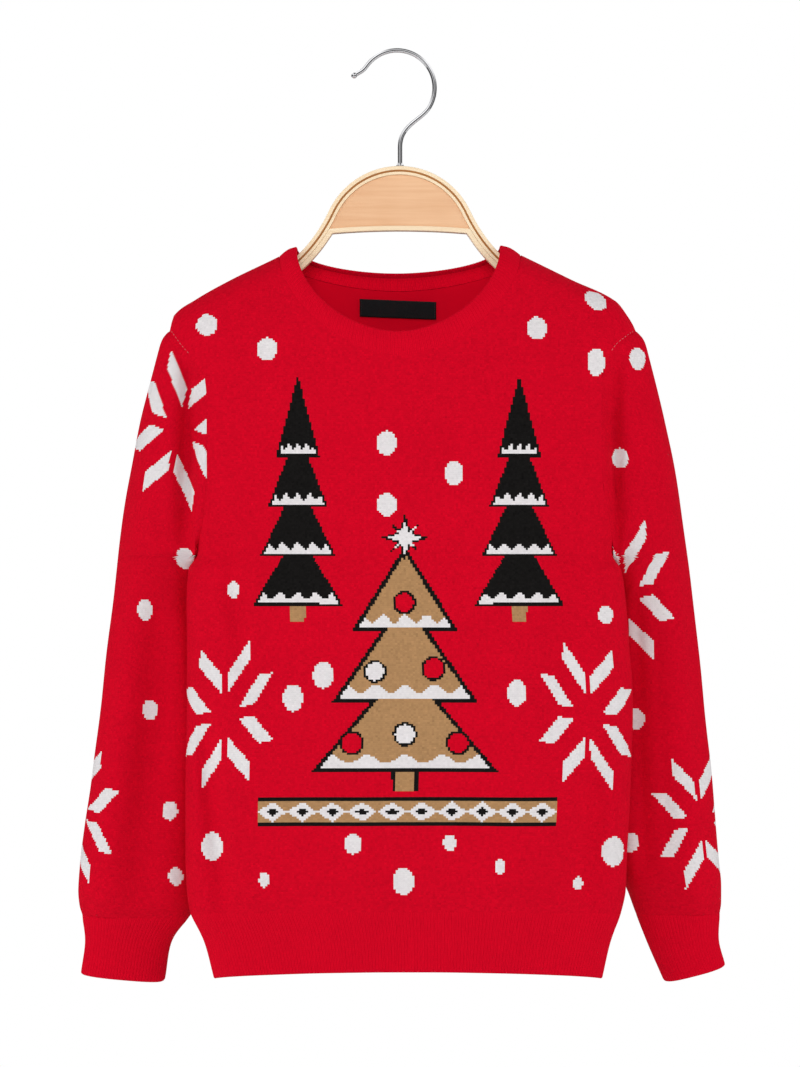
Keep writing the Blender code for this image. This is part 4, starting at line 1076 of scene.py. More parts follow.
def shell(name, outer, outer_weld, inner, inner_weld, turned, colours, material):
    """A closed thin shell from its outer and its coarser inner grid."""
    points = np.concatenate((outer.reshape(-1, 3), inner.reshape(-1, 3)))
    quads, place, tris, tri_place = split_faces(*grid_quads(outer_weld, False))
    in_quads, _, in_tris, _ = split_faces(*grid_quads(inner_weld + outer_weld.size, False))
    uv = stitch_uv(place)
    if turned:
        quads, uv, tris = quads[:, ::-1], uv[:, ::-1], tris[:, ::-1]
    else:
        in_quads, in_tris = in_quads[:, ::-1], in_tris[:, ::-1]
    rims = []
    inner_loops = [loop[::-1] for loop in boundary_loops([in_quads, in_tris])]
    for loop in boundary_loops([quads, tris]):
        middle = points[loop].mean(axis=0)
        near = min(inner_loops, key=lambda other: np.linalg.norm(points[other].mean(axis=0) - middle))
        corner = points[loop][np.argmin(points[loop] @ np.array((0.3, 0.1, 1.0)))]
        rims.append(zipper(points, start_at(loop, points, corner), start_at(near, points, corner)))
    # painted light: the inside faces get the red made lighter, standing in for light that reaches the inside
    painted_light_lining = np.array([YARN_COLOURS[RED]]) * INSIDE_PAINTED_LIGHT
    parts = [
        (quads, uv, colours[place[:, 0], place[:, 1]]),
        (tris, np.repeat(tri_place[:, None, ::-1], 3, axis=1), colours[tri_place[:, 0], tri_place[:, 1]]),
        (in_quads, None, np.repeat(painted_light_lining, len(in_quads), axis=0)),
        (in_tris, None, np.repeat(painted_light_lining, len(in_tris), axis=0)),
        (np.concatenate(rims), None, None),
    ]
    return make_mesh(name, points, parts, material)


def panel(name, front, material, seed):
    """Front or back panel."""
    outer, outer_weld = panel_points(front, 1)
    inner, inner_weld = panel_points(front, INNER_STEP)
    inner = inner - body_normals(inner, front) * WALL
    colours = tinted(panel_yarn(front, outer), seed)
    piece = shell(name + "_knit", outer, outer_weld, inner, inner_weld, not front, colours,
                  material)
    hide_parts(name)


def sleeve(name, rows, folds, troughs, figures, material, seed):
    """A sleeve, open at the armhole and at the cuff."""
    side = name.split("_")[1]
    rings = sleeve_rings(side, rows, folds, troughs)
    outer, normals, u, v, outer_weld = sleeve_grid(side, rings, 1)
    inner, inner_normals, _, _, inner_weld = sleeve_grid(side, rings, INNER_STEP)
    inner = inner - inner_normals * WALL
    colours = tinted(sleeve_yarn(side, outer, normals, u, v, figures), seed)
    piece = shell(name + "_knit", outer, outer_weld, inner, inner_weld, side == "right", colours,
                  material)
    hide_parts(name)


# ---------------------------------------------------------------- ribs

RIB_POINTS = 6             # points across one rib
RIB_SHAPE = (0.0, 0.52, 0.92, 1.0, 0.92, 0.52)
EDGE_STEPS = 5             # rows round a rib's free edge


def across_rows(keys, count):
    """Rows of points that pass smoothly through the key rows, evenly spaced."""
    keys = np.array(keys)
    at = np.linspace(0, len(keys) - 1, 12 * len(keys))
    dense = np.stack([hermite_rows(keys, t) for t in at])
    length = lengths(dense).mean(axis=1)
    places = np.interp(np.linspace(0, length[-1], count), length, at)
    return np.stack([hermite_rows(keys, t) for t in places])


def hermite_rows(keys, at):
    """One row between the key rows, on a smooth curve."""
    i = min(int(at), len(keys) - 2)
    t = at - i
    tangents = np.gradient(keys, axis=0)
    return hermite(t, keys[i], tangents[i], tangents[i + 1], keys[i + 1])


def rib_shell(name, surface, wall, rise, wrap, outward, inner_rows, material, seed):
    """A ribbed band as one closed shell.  surface's rows run from the seam to the free edge."""
    normals = grid_normals(surface, wrap, outward)
    rows, cols = surface.shape[:2]
    phase = np.array(RIB_SHAPE)[np.arange(cols) % RIB_POINTS]
    fade = ease(np.arange(rows) / 3.0)[:, None] * 0.75 + 0.25
    raised = surface + normals * (rise * phase * fade)[..., None]
    towards = unit(surface[-1] - surface[-2])
    rounds = []
    for k in range(1, EDGE_STEPS):
        turn = math.pi * k / EDGE_STEPS
        height = wall / 2 * (math.cos(turn) - 1) + rise * phase * max(math.cos(turn), 0)
        rounds.append(surface[-1] + towards * (wall / 2 * math.sin(turn)) + normals[-1] * height[:, None])
    pick = np.linspace(rows - 1, 0, inner_rows).round().astype(int)
    back = 0.45 * rise * (1 - phase)
    inner = (surface - normals * (wall - back)[None, :, None])[pick]
    loop = np.concatenate((raised, np.array(rounds), inner))
    index = np.arange(loop[..., 0].size).reshape(loop.shape[:2])
    closed = np.concatenate((index, index[:1]))
    quads, place = grid_quads(closed, wrap)
    parts = []
    uv = stitch_uv(place)
    uv[..., 0] /= RIB_POINTS
    uv[..., 1] *= lengths(surface).mean(axis=1)[-1] / (rows - 1) / STITCH_H
    rng = np.random.default_rng(seed)
    tone_and_painted_light = 1 + 0.03 * rng.standard_normal((len(closed) - 1, cols))
    # painted shade: each rib's hollows darker than its crests
    tone_and_painted_light *= 0.96 + 0.04 * np.broadcast_to(phase, tone_and_painted_light.shape)
    # painted light: the neckband's inside rows made lighter than its outside
    tone_and_painted_light[rows + EDGE_STEPS:] *= INSIDE_PAINTED_LIGHT if name == "neckband" else 1
    colour = np.array(YARN_COLOURS[RED]) * tone_and_painted_light[place[:, 0], place[:, 1]][:, None]
    flip = outward < 0
    parts.append((quads[:, ::-1] if flip else quads, uv[:, ::-1] if flip else uv, colour))
    if not wrap:
        for column, turn in ((0, 1), (-1, -1)):
            cap = index[:, column][::turn]
            parts.append(((cap[::-1] if flip else cap)[None, :], None, None))
    piece = make_mesh(name + "_rib", loop.reshape(-1, 3), parts, material)
    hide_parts(name)


def rib_count(line, pitch):
    return int(round(lengths(line)[-1] / pitch))


def even_along(points, count):
    length = lengths(points)
    at = np.linspace(0, length[-1], count + 1)
    return points_at(points, length, at)


def hem(name, front, material, seed):
    lifts = FRONT_LIFT if front else BACK_LIFT
    share = (1 - np.cos(math.pi * np.linspace(0, 1, 2001))) / 2
    arch = np.sqrt(4 * share * (1 - share))
    keys = []
    for z, lift in zip((PANEL_LOW_Z, RIB_MIDDLE_Z, HEM_Z), lifts):
        left, right = sides(z)
        keys.append(on_body(left + (right - left) * share, z + lift * arch, front))
    count = rib_count(keys[1], RIB_PITCH) * RIB_POINTS
    keys = [even_along(key, count) for key in keys]
    surface = across_rows(shortened(keys, RIB_WALL / 2), 24)
    rib_shell(name, surface, RIB_WALL, RIB_RAISE, False, -1 if front else 1, 9, material, seed)


def shortened(keys, by):
    """The same key rows with the free edge drawn back, to leave room for its rounding."""
    keys = [key.copy() for key in keys]
    keys[-1] -= unit(keys[-1] - keys[-2]) * by
    return keys


def cuff(name, sleeve_rows, rows, material, seed):
    side = name.split("_")[1]
    table = columns(SLEEVE_COLUMNS, (sleeve_rows[-1],) + tuple(rows))
    dense = np.linspace(0, 2 * math.pi, 1441)
    rings = [ring_points({k: v[i:i + 2] if i + 2 <= len(v) else v[-2:] for k, v in table.items()}, (),
                         np.array(0.0 if i + 2 <= len(table["y"]) else 1.0), dense) for i in range(3)]
    count = rib_count(rings[1], RIB_PITCH) * RIB_POINTS
    keys = [even_along(ring, count)[:-1] for ring in rings]
    surface = across_rows(shortened(keys, RIB_WALL / 2), 24)
    rib_shell(name, surface, RIB_WALL, RIB_RAISE, True, -1 if side == "left" else 1, 9, material, seed)


def neckband(material, seed):
    lines = []
    for seam in (True, False):
        left = NECK_LEFT_SEAM if seam else NECK_LEFT_EDGE
        right = NECK_RIGHT_SEAM if seam else NECK_RIGHT_EDGE
        x = left + (right - left) * (1 - np.cos(math.pi * np.linspace(0, 1, 1601))) / 2
        halves = [on_body(x, neck_curve(x, front, seam), front) for front in (True, False)]
        lines.append(halves)
    counts = [rib_count((seam + edge) / 2, NECK_RIB_PITCH) * RIB_POINTS for seam, edge in zip(*lines)]
    seam, edge = (np.concatenate((even_along(front, counts[0])[:-1], even_along(back, counts[1])[::-1][:-1]))
                  for front, back in lines)
    middle = (seam + edge) / 2
    middle[:, 1] *= 1.03
    middle[:, 2] += 0.0012
    surface = across_rows(shortened([seam, middle, edge], NECKBAND_WALL / 2), 11)
    rib_shell("neckband", surface, NECKBAND_WALL, NECK_RIB_RAISE, True, 1, 6, material, seed)


# ---------------------------------------------------------------- label, stitches

LABEL_LEFT = -0.0265
LABEL_RIGHT = 0.0278
LABEL_TOP_Z = -0.1702
LABEL_HEIGHT = 0.0123
LABEL_TILT = -0.040
LABEL_THICK = 0.0004
LABEL_CLEAR = 0.0008
LABEL_SEWN_IN = 0.0011     # its stitches from its short ends
LABEL_STITCHES = 6
LABEL_SEWN = 0.86          # share of its height that they run along
LABEL_STITCH_SHAPE = (0.12, 0.5, 0.88)
LABEL_STITCH_LIFT = 0.00065
LABEL_STITCH_BOW = 0.00018
LABEL_THREAD = 0.00014     # radii of the threads
ARMHOLE_THREAD = 0.00013
ARMHOLE_SEWN = (0.001, 0.017)   # where the armholes' stitches show, below the shoulder
ARMHOLE_SEWN_IN = 0.0016
ARMHOLE_STITCH = 0.0014
ARMHOLE_STITCH_ROOM = 0.0016
ARMHOLE_STITCH_PITCH = 0.0029
ARMHOLE_STITCH_LIFT = (0.00005, 0.00030, 0.00030, 0.00005)


def solid_strip(name, outer, inner, material):
    """A thin closed strip between two grids of points of the same shape."""
    rows, cols = outer.shape[:2]
    points = np.concatenate((outer.reshape(-1, 3), inner.reshape(-1, 3)))
    index = np.arange(rows * cols).reshape(rows, cols)
    quads, _ = grid_quads(index, False)
    back, _ = grid_quads(index + rows * cols, False)
    ring = np.concatenate((index[0, :-1], index[:-1, -1], index[-1, :0:-1], index[:0:-1, 0]))
    after = np.roll(ring, -1)
    size = rows * cols
    rim = np.stack((after, ring, ring + size, after + size), axis=1)
    parts = [(quads, None, None), (back[:, ::-1], None, None), (rim, None, None)]
    return make_mesh(name, points, parts, material, smooth_shade=False)


def neck_label(material):
    """Plain woven label inside the back neck, slightly bowed between its sewn ends."""
    x = np.linspace(LABEL_LEFT, LABEL_RIGHT, 53)
    share = (x - LABEL_LEFT) / (LABEL_RIGHT - LABEL_LEFT)
    grids = []
    for offset in (LABEL_CLEAR + LABEL_THICK, LABEL_CLEAR):
        rows = []
        for z in np.linspace(LABEL_TOP_Z - LABEL_HEIGHT, LABEL_TOP_Z, 13):
            line = on_body(x, z + LABEL_TILT * (x - LABEL_LEFT), False)
            bow = 0.0005 * np.sin(math.pi * share) ** 0.5 + 0.00012 * np.sin(9 * math.pi * share + 60 * z)
            line[:, 1] -= WALL + offset + bow
            rows.append(line)
        grids.append(np.array(rows))
    piece = solid_strip("neck_label_woven", grids[0], grids[1], material)
    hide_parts("neck_label")


def thread(name, runs, radius, material):
    """Short sewing stitches as one curve object."""
    curve = new_curve(name, radius, 1)
    curve.dimensions = "3D"
    curve.use_fill_caps = True
    for run in runs:
        add_line(curve, run)
    return place_piece(name, curve, material)


def label_stitches(material):
    """Sewing along the label's two short ends."""
    runs = []
    for x in (LABEL_LEFT + LABEL_SEWN_IN, LABEL_RIGHT - LABEL_SEWN_IN):
        middle = LABEL_TOP_Z + LABEL_TILT * (x - LABEL_LEFT) - LABEL_HEIGHT / 2
        for k in range(LABEL_STITCHES):
            share = (k + np.array(LABEL_STITCH_SHAPE)) / LABEL_STITCHES - 0.5
            line = on_body(np.full(3, x), middle + LABEL_HEIGHT * LABEL_SEWN * share, False)
            lift = WALL + LABEL_CLEAR + LABEL_THICK + LABEL_STITCH_LIFT
            line[:, 1] -= lift + np.array((0, LABEL_STITCH_BOW, 0))
            runs.append(line)
    thread("label_stitches", runs, LABEL_THREAD, material)


def armhole_stitches(material):
    """The few stitches that show beside each armhole seam, near the shoulder."""
    runs = []
    for side, inwards in (("left", 1), ("right", -1)):
        z = np.linspace(SHOULDER_Z - ARMHOLE_SEWN[0], SHOULDER_Z - ARMHOLE_SEWN[1], 400)
        x = smooth(z, ARMHOLE["z"], ARMHOLE[side]) + inwards * ARMHOLE_SEWN_IN
        line = on_body(x, z, True)
        length = lengths(line)
        start = 0.0
        while start + ARMHOLE_STITCH_ROOM < length[-1]:
            run = points_at(line, length, np.linspace(start, start + ARMHOLE_STITCH, 4))
            run += body_normals(run, True) * np.array(ARMHOLE_STITCH_LIFT)[:, None]
            runs.append(run)
            start += ARMHOLE_STITCH_PITCH
    thread("armhole_stitches", runs, ARMHOLE_THREAD, material)


# ---------------------------------------------------------------- hanger and hook

HANGER_X = 0.0018
HANGER_TOP_Z = -0.0798
CROWN_RADIUS = 0.0546
CROWN_HALF_ANGLE = 64.5
ARM_END_OUT = 0.147
ARM_END_DROP = 0.105
ARM_END_ANGLE = 31.0
ARM_START_PULL = 0.054
ARM_END_PULL = 0.045
BOW_THICK = 0.0060
OUTER_PLY = 0.0028
GLUE_LINE = 0.0012
RAIL_THICK = 0.0034
BOW_DEPTH = 0.0092
PANEL_DEPTH = 0.0070
PANEL_DROP = 0.0416
PANEL_ARCH = 0.0021
PANEL_HALF = 0.0483
OUTER_BEVEL = 0.0005
INNER_BEVEL = 0.0003
GLUE_BEVEL = 0.0001
RAIL_BEVEL = 0.0004
GLUE_OVERLAP = 0.0002      # how far the glue line goes under each ply
GLUE_SUNK = 0.0003         # and how much thinner than they it is, front to back
JOINT = 0.0001             # gap between glued parts
RAIL_CLEAR = 0.0003        # gap where the rail's arms leave the board
PANEL_TUCK = 0.0020        # how far the board goes down behind the rail's upper edge
WIRE_RADIUS = 0.0016
HOOK_RADIUS = 0.0263
HOOK_START = 145.0
HOOK_END = -30.0
TIP_X = -0.0300
TIP_Z = -0.0160
TIP_ANGLE = 212.0
TIP_RADIUS = 0.0021
TIP_SHARES = (0.985, 0.92, 0.78, 0.6, 0.35, 0.1, -0.15, -0.4)   # points along the tip's ball
TIP_LEAD = 0.0012
TIP_PULL = 0.0045
ARC_START_PULL = 0.004
ARC_END_PULL = 0.011
STEM_PULL = 0.016
STEM_X = 0.0021
STEM_TOP_Z = -0.0661
STEM_END_Z = -0.0848
COLLAR_RADIUS = 0.0027
COLLAR_HEIGHT = 0.0024


def direction(degrees):
    return np.array((math.cos(math.radians(degrees)), math.sin(math.radians(degrees))))


def bezier(start, start_pull, end_pull, end, steps):
    t = np.linspace(0, 1, steps + 1)[:, None]
    start, start_pull, end_pull, end = (np.array(p, float) for p in (start, start_pull, end_pull, end))
    return (start * (1 - t) ** 3 + 3 * start_pull * t * (1 - t) ** 2
            + 3 * end_pull * t * t * (1 - t) + end * t ** 3)


def bow_edge(inset):
    """(out, drop) from the crown's middle to an arm's end, moved in by inset."""
    turns = np.radians(np.linspace(0, CROWN_HALF_ANGLE, 40))
    crown = CROWN_RADIUS * np.stack((np.sin(turns), 1 - np.cos(turns)), axis=1)
    end = np.array((ARM_END_OUT, ARM_END_DROP))
    arm = bezier(crown[-1], crown[-1] + ARM_START_PULL * direction(CROWN_HALF_ANGLE),
                 end - ARM_END_PULL * direction(ARM_END_ANGLE), end, 40)
    line = np.concatenate((crown, arm[1:]))
    slope = np.gradient(line, axis=0)
    slope /= np.linalg.norm(slope, axis=1)[:, None]
    return line + inset * np.stack((-slope[:, 1], slope[:, 0]), axis=1)


def panel_edge(out):
    return PANEL_DROP + PANEL_ARCH * (out / PANEL_HALF) ** 2


def mirrored(half):
    return np.concatenate((half[:0:-1] * (-1, 1), half))


def flat_piece(name, outline, depth, bevel, material):
    """An (out, drop) outline extruded through the hanger's depth, with rounded edges."""
    curve = new_curve(name, bevel, 2)
    curve.dimensions = "2D"
    curve.fill_mode = "BOTH"
    curve.extrude = depth / 2 - bevel
    curve.offset = -bevel
    add_line(curve, [(out, -drop, 0) for out, drop in outline]).use_cyclic_u = True
    return place_piece(name, curve, material, (HANGER_X, 0, HANGER_TOP_Z), (math.radians(90), 0, 0))


def band_outline(low, high):
    """Closed outline of the strip between two insets of the bow's edge."""
    return np.concatenate((mirrored(bow_edge(low)), mirrored(bow_edge(high))[::-1]))


def hanger(wood, panel_wood, glue):
    outer = flat_piece("bow_outer_ply", band_outline(0, OUTER_PLY), BOW_DEPTH, OUTER_BEVEL, wood)
    flat_piece("bow_glue_line", band_outline(OUTER_PLY - GLUE_OVERLAP, OUTER_PLY + GLUE_LINE + GLUE_OVERLAP),
               BOW_DEPTH - GLUE_SUNK, GLUE_BEVEL, glue)
    flat_piece("bow_inner_ply", band_outline(OUTER_PLY + GLUE_LINE, BOW_THICK), BOW_DEPTH, INNER_BEVEL,
               wood)
    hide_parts("hanger_bow")

    under = bow_edge(BOW_THICK + JOINT)
    above = under[under[:, 1] < panel_edge(under[:, 0]) + PANEL_TUCK]
    across = np.linspace(0, above[-1, 0], 31)
    lower = np.stack((across, panel_edge(across) + PANEL_TUCK), axis=1)
    crescent = np.concatenate((mirrored(above), mirrored(lower)[::-1][1:-1]))
    board = flat_piece("crescent_board", crescent, PANEL_DEPTH, INNER_BEVEL, panel_wood)
    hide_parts("hanger_panel")

    arm = under[under[:, 1] > panel_edge(under[:, 0]) + RAIL_CLEAR]
    arm_low = bow_edge(BOW_THICK + JOINT + RAIL_THICK)
    arm_low = arm_low[arm_low[:, 1] > panel_edge(arm_low[:, 0]) + RAIL_CLEAR + RAIL_THICK]
    bridge = np.linspace(0, arm[0, 0], 25)
    upper = np.stack((bridge, panel_edge(bridge) + JOINT), axis=1)
    lower_bridge = np.linspace(0, arm_low[0, 0] - RAIL_THICK / 2, 25)
    lower = np.stack((lower_bridge, panel_edge(lower_bridge) + JOINT + RAIL_THICK), axis=1)
    top_line = mirrored(np.concatenate((upper, arm)))
    low_line = mirrored(np.concatenate((lower, arm_low)))
    rail = flat_piece("lower_rail", np.concatenate((top_line, low_line[::-1])), BOW_DEPTH, RAIL_BEVEL,
                      wood)
    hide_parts("hanger_rail")


def hook(steel):
    centre = np.array((0, WIRE_RADIUS - HOOK_RADIUS))
    turns = np.linspace(HOOK_START, HOOK_END, 60)
    arc = np.array([centre + HOOK_RADIUS * direction(turn) for turn in turns])
    tip = np.array((TIP_X, TIP_Z))
    bend = bezier(tip - TIP_LEAD * direction(TIP_ANGLE), tip - TIP_PULL * direction(TIP_ANGLE),
                  arc[0] + ARC_START_PULL * direction(HOOK_START + 90), arc[0], 12)
    stem_top = np.array((STEM_X, STEM_TOP_Z))
    sway = bezier(arc[-1], arc[-1] + ARC_END_PULL * direction(HOOK_END - 90),
                  stem_top + np.array((0, STEM_PULL)), stem_top, 24)
    stem_end = np.array(((STEM_X, STEM_END_Z),))
    shares = np.array(TIP_SHARES)
    ball = np.array([tip + TIP_RADIUS * share * direction(TIP_ANGLE) for share in shares])
    swell = np.sqrt(1 - shares ** 2) * TIP_RADIUS / WIRE_RADIUS
    line = np.concatenate((ball, bend, arc[1:], sway[1:], stem_end))
    radii = np.concatenate((swell, np.ones(len(line) - len(swell))))
    curve = new_curve("hook_wire", WIRE_RADIUS, 6)
    curve.dimensions = "3D"
    curve.use_fill_caps = True
    spline = add_line(curve, [(x, 0, z) for x, z in line])
    for point, radius in zip(spline.points, radii):
        point.radius = radius
    spline.use_smooth = True
    wire = place_piece("hook_wire", curve, steel)
    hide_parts("hook")


def collar(steel):
    """Small flanged ring where the hook enters the crown."""
    profile = ((0.0018, 0.0), (COLLAR_RADIUS, 0.0), (COLLAR_RADIUS, 0.0009), (0.0023, 0.0013),
               (0.0022, COLLAR_HEIGHT - 0.0003), (0.0019, COLLAR_HEIGHT), (0.0018, COLLAR_HEIGHT))
    turns = np.linspace(0, 2 * math.pi, 41)[:-1]
    points = np.array([[(STEM_X + r * math.cos(a), r * math.sin(a), HANGER_TOP_Z + h) for a in turns]
                       for r, h in profile])
    index = np.arange(points[..., 0].size).reshape(points.shape[:2])
    quads, _ = grid_quads(np.concatenate((index, index[:1])), True)
    parts = [(quads, None, None)]
    piece = make_mesh("hook_ferrule", points.reshape(-1, 3), parts, steel, False)
    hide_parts("hook_collar")


# ---------------------------------------------------------------- materials

class Nodes:
    """Short way to add and join the nodes of a new material or world."""

    def __init__(self, owner, shader="Principled BSDF"):
        owner.use_nodes = True
        self.owner = owner
        self.tree = owner.node_tree
        self.shader = self.tree.nodes[shader]

    def add(self, kind, **settings):
        node = self.tree.nodes.new(kind)
        for key, value in settings.items():
            setattr(node, key, value)
        return node

    def join(self, source, target):
        self.tree.links.new(source, target)

    def put(self, value, socket):
        if isinstance(value, (int, float)):
            socket.default_value = value
        else:
            self.join(value, socket)

    def math(self, operation, a, b=0.0):
        node = self.add("ShaderNodeMath", operation=operation)
        self.put(a, node.inputs[0])
        self.put(b, node.inputs[1])
        return node.outputs[0]

    def noise(self, vector, scale, detail, roughness=0.5):
        node = self.add("ShaderNodeTexNoise")
        self.join(vector, node.inputs["Vector"])
        node.inputs["Scale"].default_value = scale
        node.inputs["Detail"].default_value = detail
        node.inputs["Roughness"].default_value = roughness
        return node.outputs["Fac"]

    def tint(self, colour, factor):
        """colour (a socket) times factor (a socket around 1)."""
        node = self.add("ShaderNodeVectorMath", operation="SCALE")
        self.join(colour, node.inputs[0])
        self.join(factor, node.inputs["Scale"])
        return node.outputs[0]

    def bump(self, height, strength, distance):
        node = self.add("ShaderNodeBump")
        node.inputs["Strength"].default_value = strength
        node.inputs["Distance"].default_value = distance
        self.join(height, node.inputs["Height"])
        self.join(node.outputs["Normal"], self.shader.inputs["Normal"])


def knit_material(name, strength):
    """Yarn colour from the stitches, with plied legs of each stitch and fine fuzz, and painted shade darker
    between the legs.
    """
    made = Nodes(bpy.data.materials.new(name))
    yarn = made.add("ShaderNodeAttribute", attribute_name="yarn")
    place = made.add("ShaderNodeTexCoord")
    split = made.add("ShaderNodeSeparateXYZ")
    made.join(place.outputs["UV"], split.inputs[0])
    fraction = made.math("FRACT", split.outputs[0])
    centred = made.math("SUBTRACT", fraction, 0.5)
    side = made.math("MULTIPLY", made.math("ABSOLUTE", centred), 2.0)
    leg = made.math("SINE", made.math("MULTIPLY", side, math.pi))
    slanted = made.math("FRACT", made.math("ADD", split.outputs[1], made.math("MULTIPLY", side, -0.55)))
    loop = made.math("SINE", made.math("MULTIPLY", slanted, math.pi))
    height = made.math("MULTIPLY", leg, made.math("ADD", made.math("MULTIPLY", loop, 0.55), 0.45))
    fuzz = made.noise(place.outputs["Object"], 2600.0, 3.0, 0.6)
    soft = made.noise(place.outputs["Object"], 26.0, 2.0)
    relief = made.math("ADD", height, made.math("MULTIPLY", fuzz, 0.5))
    tone_and_painted_light = made.math("ADD", made.math("MULTIPLY", fuzz, 0.18), 0.91)
    tone_and_painted_light = made.math("MULTIPLY", tone_and_painted_light, made.math("ADD", made.math("MULTIPLY", soft, 0.10), 0.95))
    # painted shade: darker in the hollows between the stitches' legs and rows, lighter on the legs
    tone_and_painted_light = made.math("MULTIPLY", tone_and_painted_light, made.math("ADD", made.math("MULTIPLY", height, 0.16), 0.90))
    made.join(made.tint(yarn.outputs["Color"], tone_and_painted_light), made.shader.inputs["Base Color"])
    made.shader.inputs["Roughness"].default_value = 0.92
    made.shader.inputs["Specular IOR Level"].default_value = 0.05
    made.bump(relief, strength, 0.0005)
    return made.owner


def weave_material(name, colour, scale):
    made = Nodes(bpy.data.materials.new(name))
    place = made.add("ShaderNodeTexCoord")
    split = made.add("ShaderNodeSeparateXYZ")
    made.join(place.outputs["Object"], split.inputs[0])
    warp = made.math("SINE", made.math("MULTIPLY", split.outputs[0], scale))
    weft = made.math("SINE", made.math("MULTIPLY", split.outputs[2], scale))
    height = made.math("MULTIPLY", warp, weft)
    fine = made.noise(place.outputs["Object"], 900.0, 3.0)
    # fine noise gives random tone; painted shade: darker in the weave's hollows, lighter on its raised
    # threads
    tone_and_painted_light = made.math("ADD", made.math("MULTIPLY", height, 0.10), made.math("ADD", fine, 0.5))
    base = made.add("ShaderNodeRGB")
    base.outputs[0].default_value = (*colour, 1)
    made.join(made.tint(base.outputs[0], tone_and_painted_light), made.shader.inputs["Base Color"])
    made.shader.inputs["Roughness"].default_value = 0.7
    made.shader.inputs["Specular IOR Level"].default_value = 0.2
    made.bump(height, 0.3, 0.0001)
    return made.owner


def wood_material(name, light, dark, grain):
    """Satin wood with fine grain along the hanger's width."""
    made = Nodes(bpy.data.materials.new(name))
    place = made.add("ShaderNodeTexCoord")
    stretch = made.add("ShaderNodeMapping")
    stretch.inputs["Scale"].default_value = (grain * 0.05, grain, grain)
    made.join(place.outputs["Object"], stretch.inputs["Vector"])
    lines = made.noise(stretch.outputs[0], 1.0, 4.0, 0.62)
    blotch = made.noise(place.outputs["Object"], 30.0, 2.0)
    mix = made.math("ADD", made.math("MULTIPLY", lines, 0.8), made.math("MULTIPLY", blotch, 0.35))
    ramp = made.add("ShaderNodeValToRGB")
    ramp.color_ramp.elements[0].position = 0.34
    ramp.color_ramp.elements[0].color = (*dark, 1)
    ramp.color_ramp.elements[1].position = 0.78
    ramp.color_ramp.elements[1].color = (*light, 1)
    made.join(mix, ramp.inputs[0])
    made.join(ramp.outputs["Color"], made.shader.inputs["Base Color"])
    made.join(made.math("ADD", made.math("MULTIPLY", lines, 0.25), 0.28), made.shader.inputs["Roughness"])
    made.bump(lines, 0.25, 0.0002)
    return made.owner


def steel_material(name):
    """Polished chrome with a trace of fine scratches."""
    made = Nodes(bpy.data.materials.new(name))
    place = made.add("ShaderNodeTexCoord")
    haze = made.noise(place.outputs["Object"], 260.0, 4.0)
    base = made.add("ShaderNodeRGB")
    base.outputs[0].default_value = (0.66, 0.66, 0.675, 1)
    made.join(made.tint(base.outputs[0], made.math("ADD", made.math("MULTIPLY", haze, 0.08), 0.96)),
              made.shader.inputs["Base Color"])
    made.join(made.math("ADD", made.math("MULTIPLY", haze, 0.06), 0.05), made.shader.inputs["Roughness"])
    made.shader.inputs["Metallic"].default_value = 1.0
    return made.owner


# ---------------------------------------------------------------- studio

CAMERA_AWAY = 2.07
CAMERA_X = 0.0021
CAMERA_Z = -0.3366
PHOTO_HEIGHT = 1067
PIXEL = 0.0007             # metres a photo pixel at the middle plane
SENSOR = 36.0
FLOOR_Z = -1.30
STUDIO_LEVEL = 0.36         # the white surroundings as light; they show as plain white
MIRRORED_LEVEL = 0.10       # and as the chrome mirrors them, with paler stripes
MIRRORED_STRIPES = (        # axis, middle and width of the direction, strength
    ("X", -0.35, 0.16, 1.1),
    ("X", 0.62, 0.10, 0.8),
    ("Z", 0.55, 0.22, 1.0),
)

LIGHTS = (                  # name, place, size, watts, aim
    ("key_light", (-0.2, -2.7, 0.5), 1.2, 28, (0, 0, -0.30)),
    ("left_light", (-2.3, -0.9, 0.0), 1.5, 24, (0, 0, -0.38)),
    ("right_light", (2.3, -0.9, 0.1), 1.5, 23, (0, 0, -0.38)),
    ("back_light", (0.3, 2.4, 1.2), 2.4, 16, (0, 0, -0.38)),
)


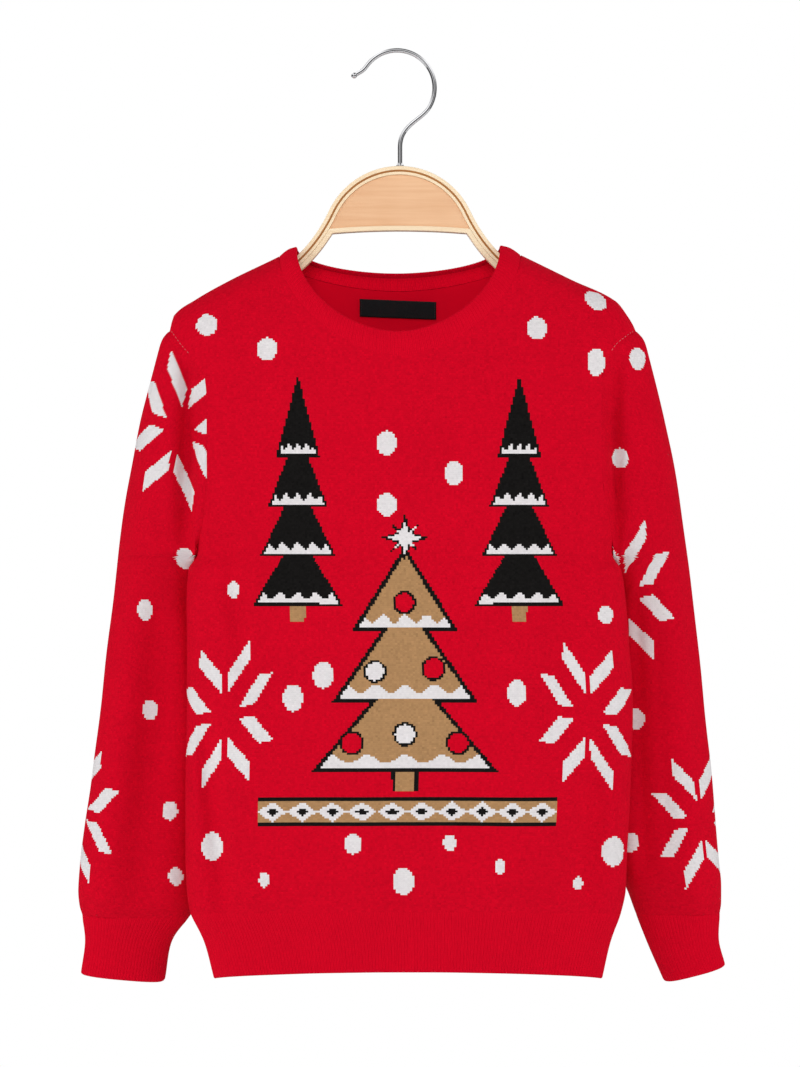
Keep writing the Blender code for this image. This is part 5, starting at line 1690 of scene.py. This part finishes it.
def studio():
    camera_data = bpy.data.cameras.new("camera")
    camera_data.sensor_width = SENSOR
    camera_data.lens = SENSOR * CAMERA_AWAY / (PHOTO_HEIGHT * PIXEL)
    camera_data.clip_end = 50
    camera = add_object("camera", camera_data, (CAMERA_X, -CAMERA_AWAY, CAMERA_Z), (math.radians(90), 0, 0))
    bpy.context.scene.camera = camera
    bpy.context.scene.view_settings.view_transform = "Standard"

    for name, place, size, energy, aim in LIGHTS:
        lamp = bpy.data.lights.new(name, "AREA")
        lamp.energy = energy
        lamp.size = size
        away = np.array(place) - np.array(aim)
        turn = (math.acos(away[2] / np.linalg.norm(away)), 0, math.atan2(away[1], away[0]) + math.pi / 2)
        add_object(name, lamp, place, turn).visible_glossy = False

    world = Nodes(bpy.data.worlds.new("studio"), "Background")
    seen = world.add("ShaderNodeLightPath")
    way = world.add("ShaderNodeSeparateXYZ")
    world.join(world.add("ShaderNodeTexCoord").outputs["Generated"], way.inputs[0])
    mirrored_level = MIRRORED_LEVEL
    for axis, middle, width, strength in MIRRORED_STRIPES:
        away = world.math("DIVIDE", world.math("SUBTRACT", way.outputs[axis], middle), width)
        falling = world.math("MULTIPLY", world.math("MULTIPLY", away, away), -1.0)
        stripe = world.math("MULTIPLY", world.math("POWER", math.e, falling), strength)
        mirrored_level = world.math("ADD", stripe, mirrored_level)
    level = STUDIO_LEVEL
    for ray, value in (("Is Glossy Ray", mirrored_level), ("Is Camera Ray", 1.0)):
        share = seen.outputs[ray]
        level = world.math("ADD", world.math("MULTIPLY", share, value),
                           world.math("MULTIPLY", world.math("SUBTRACT", 1.0, share), level))
    world.shader.inputs["Color"].default_value = (1, 1, 1, 1)
    world.join(level, world.shader.inputs["Strength"])
    bpy.context.scene.world = world.owner

    pale = Nodes(bpy.data.materials.new("pale_floor"))
    pale.shader.inputs["Base Color"].default_value = (0.93, 0.93, 0.93, 1)
    pale.shader.inputs["Roughness"].default_value = 0.9
    bpy.ops.mesh.primitive_plane_add(size=5, location=(0, 0, FLOOR_Z))
    floor = bpy.context.object
    floor.name = "floor"
    floor.data.materials.append(pale.owner)


# ---------------------------------------------------------------- everything

def sweater():
    plain = knit_material("jacquard_knit", 0.55)
    rib = knit_material("rib_knit", 0.45)
    panel("front_panel", True, plain, 11)
    panel("back_panel", False, plain, 12)
    mirrored_dots = [(BACK_SLEEVES_SUM - x, *rest) for x, *rest in BACK_SLEEVE_DOTS]
    mirrored_flakes = [(BACK_SLEEVES_SUM - x, z, half, -slant, -turn)
                       for x, z, half, slant, turn in BACK_SLEEVE_FLAKES]
    sleeve("sleeve_left", LEFT_SLEEVE_ROWS, LEFT_SLEEVE_FOLDS, LEFT_TROUGHS,
           (LEFT_SLEEVE_DOTS, LEFT_SLEEVE_FLAKES, mirrored_dots, mirrored_flakes), plain, 13)
    sleeve("sleeve_right", RIGHT_SLEEVE_ROWS, RIGHT_SLEEVE_FOLDS, RIGHT_TROUGHS,
           (RIGHT_SLEEVE_DOTS, RIGHT_SLEEVE_FLAKES, BACK_SLEEVE_DOTS, ()), plain, 14)
    neckband(rib, 15)
    hem("hem_rib_front", True, rib, 16)
    hem("hem_rib_back", False, rib, 17)
    cuff("cuff_left", LEFT_SLEEVE_ROWS, LEFT_CUFF_ROWS, rib, 18)
    cuff("cuff_right", RIGHT_SLEEVE_ROWS, RIGHT_CUFF_ROWS, rib, 19)


def main():
    sweater()
    neck_label(weave_material("label_satin", (0.0115, 0.0125, 0.0138), 9000.0))
    label_stitches(weave_material("label_thread", (0.045, 0.045, 0.050), 9000.0))
    armhole_stitches(weave_material("seam_thread", (0.62, 0.22, 0.24), 9000.0))
    wood = wood_material("varnished_maple", (0.960, 0.800, 0.575), (0.880, 0.660, 0.420), 420.0)
    board = wood_material("tan_board", (0.870, 0.540, 0.318), (0.760, 0.420, 0.225), 300.0)
    glue = wood_material("glue_line", (0.420, 0.170, 0.040), (0.300, 0.105, 0.022), 300.0)
    hanger(wood, board, glue)
    steel = steel_material("chrome_wire")
    hook(steel)
    collar(steel)
    studio()


main()
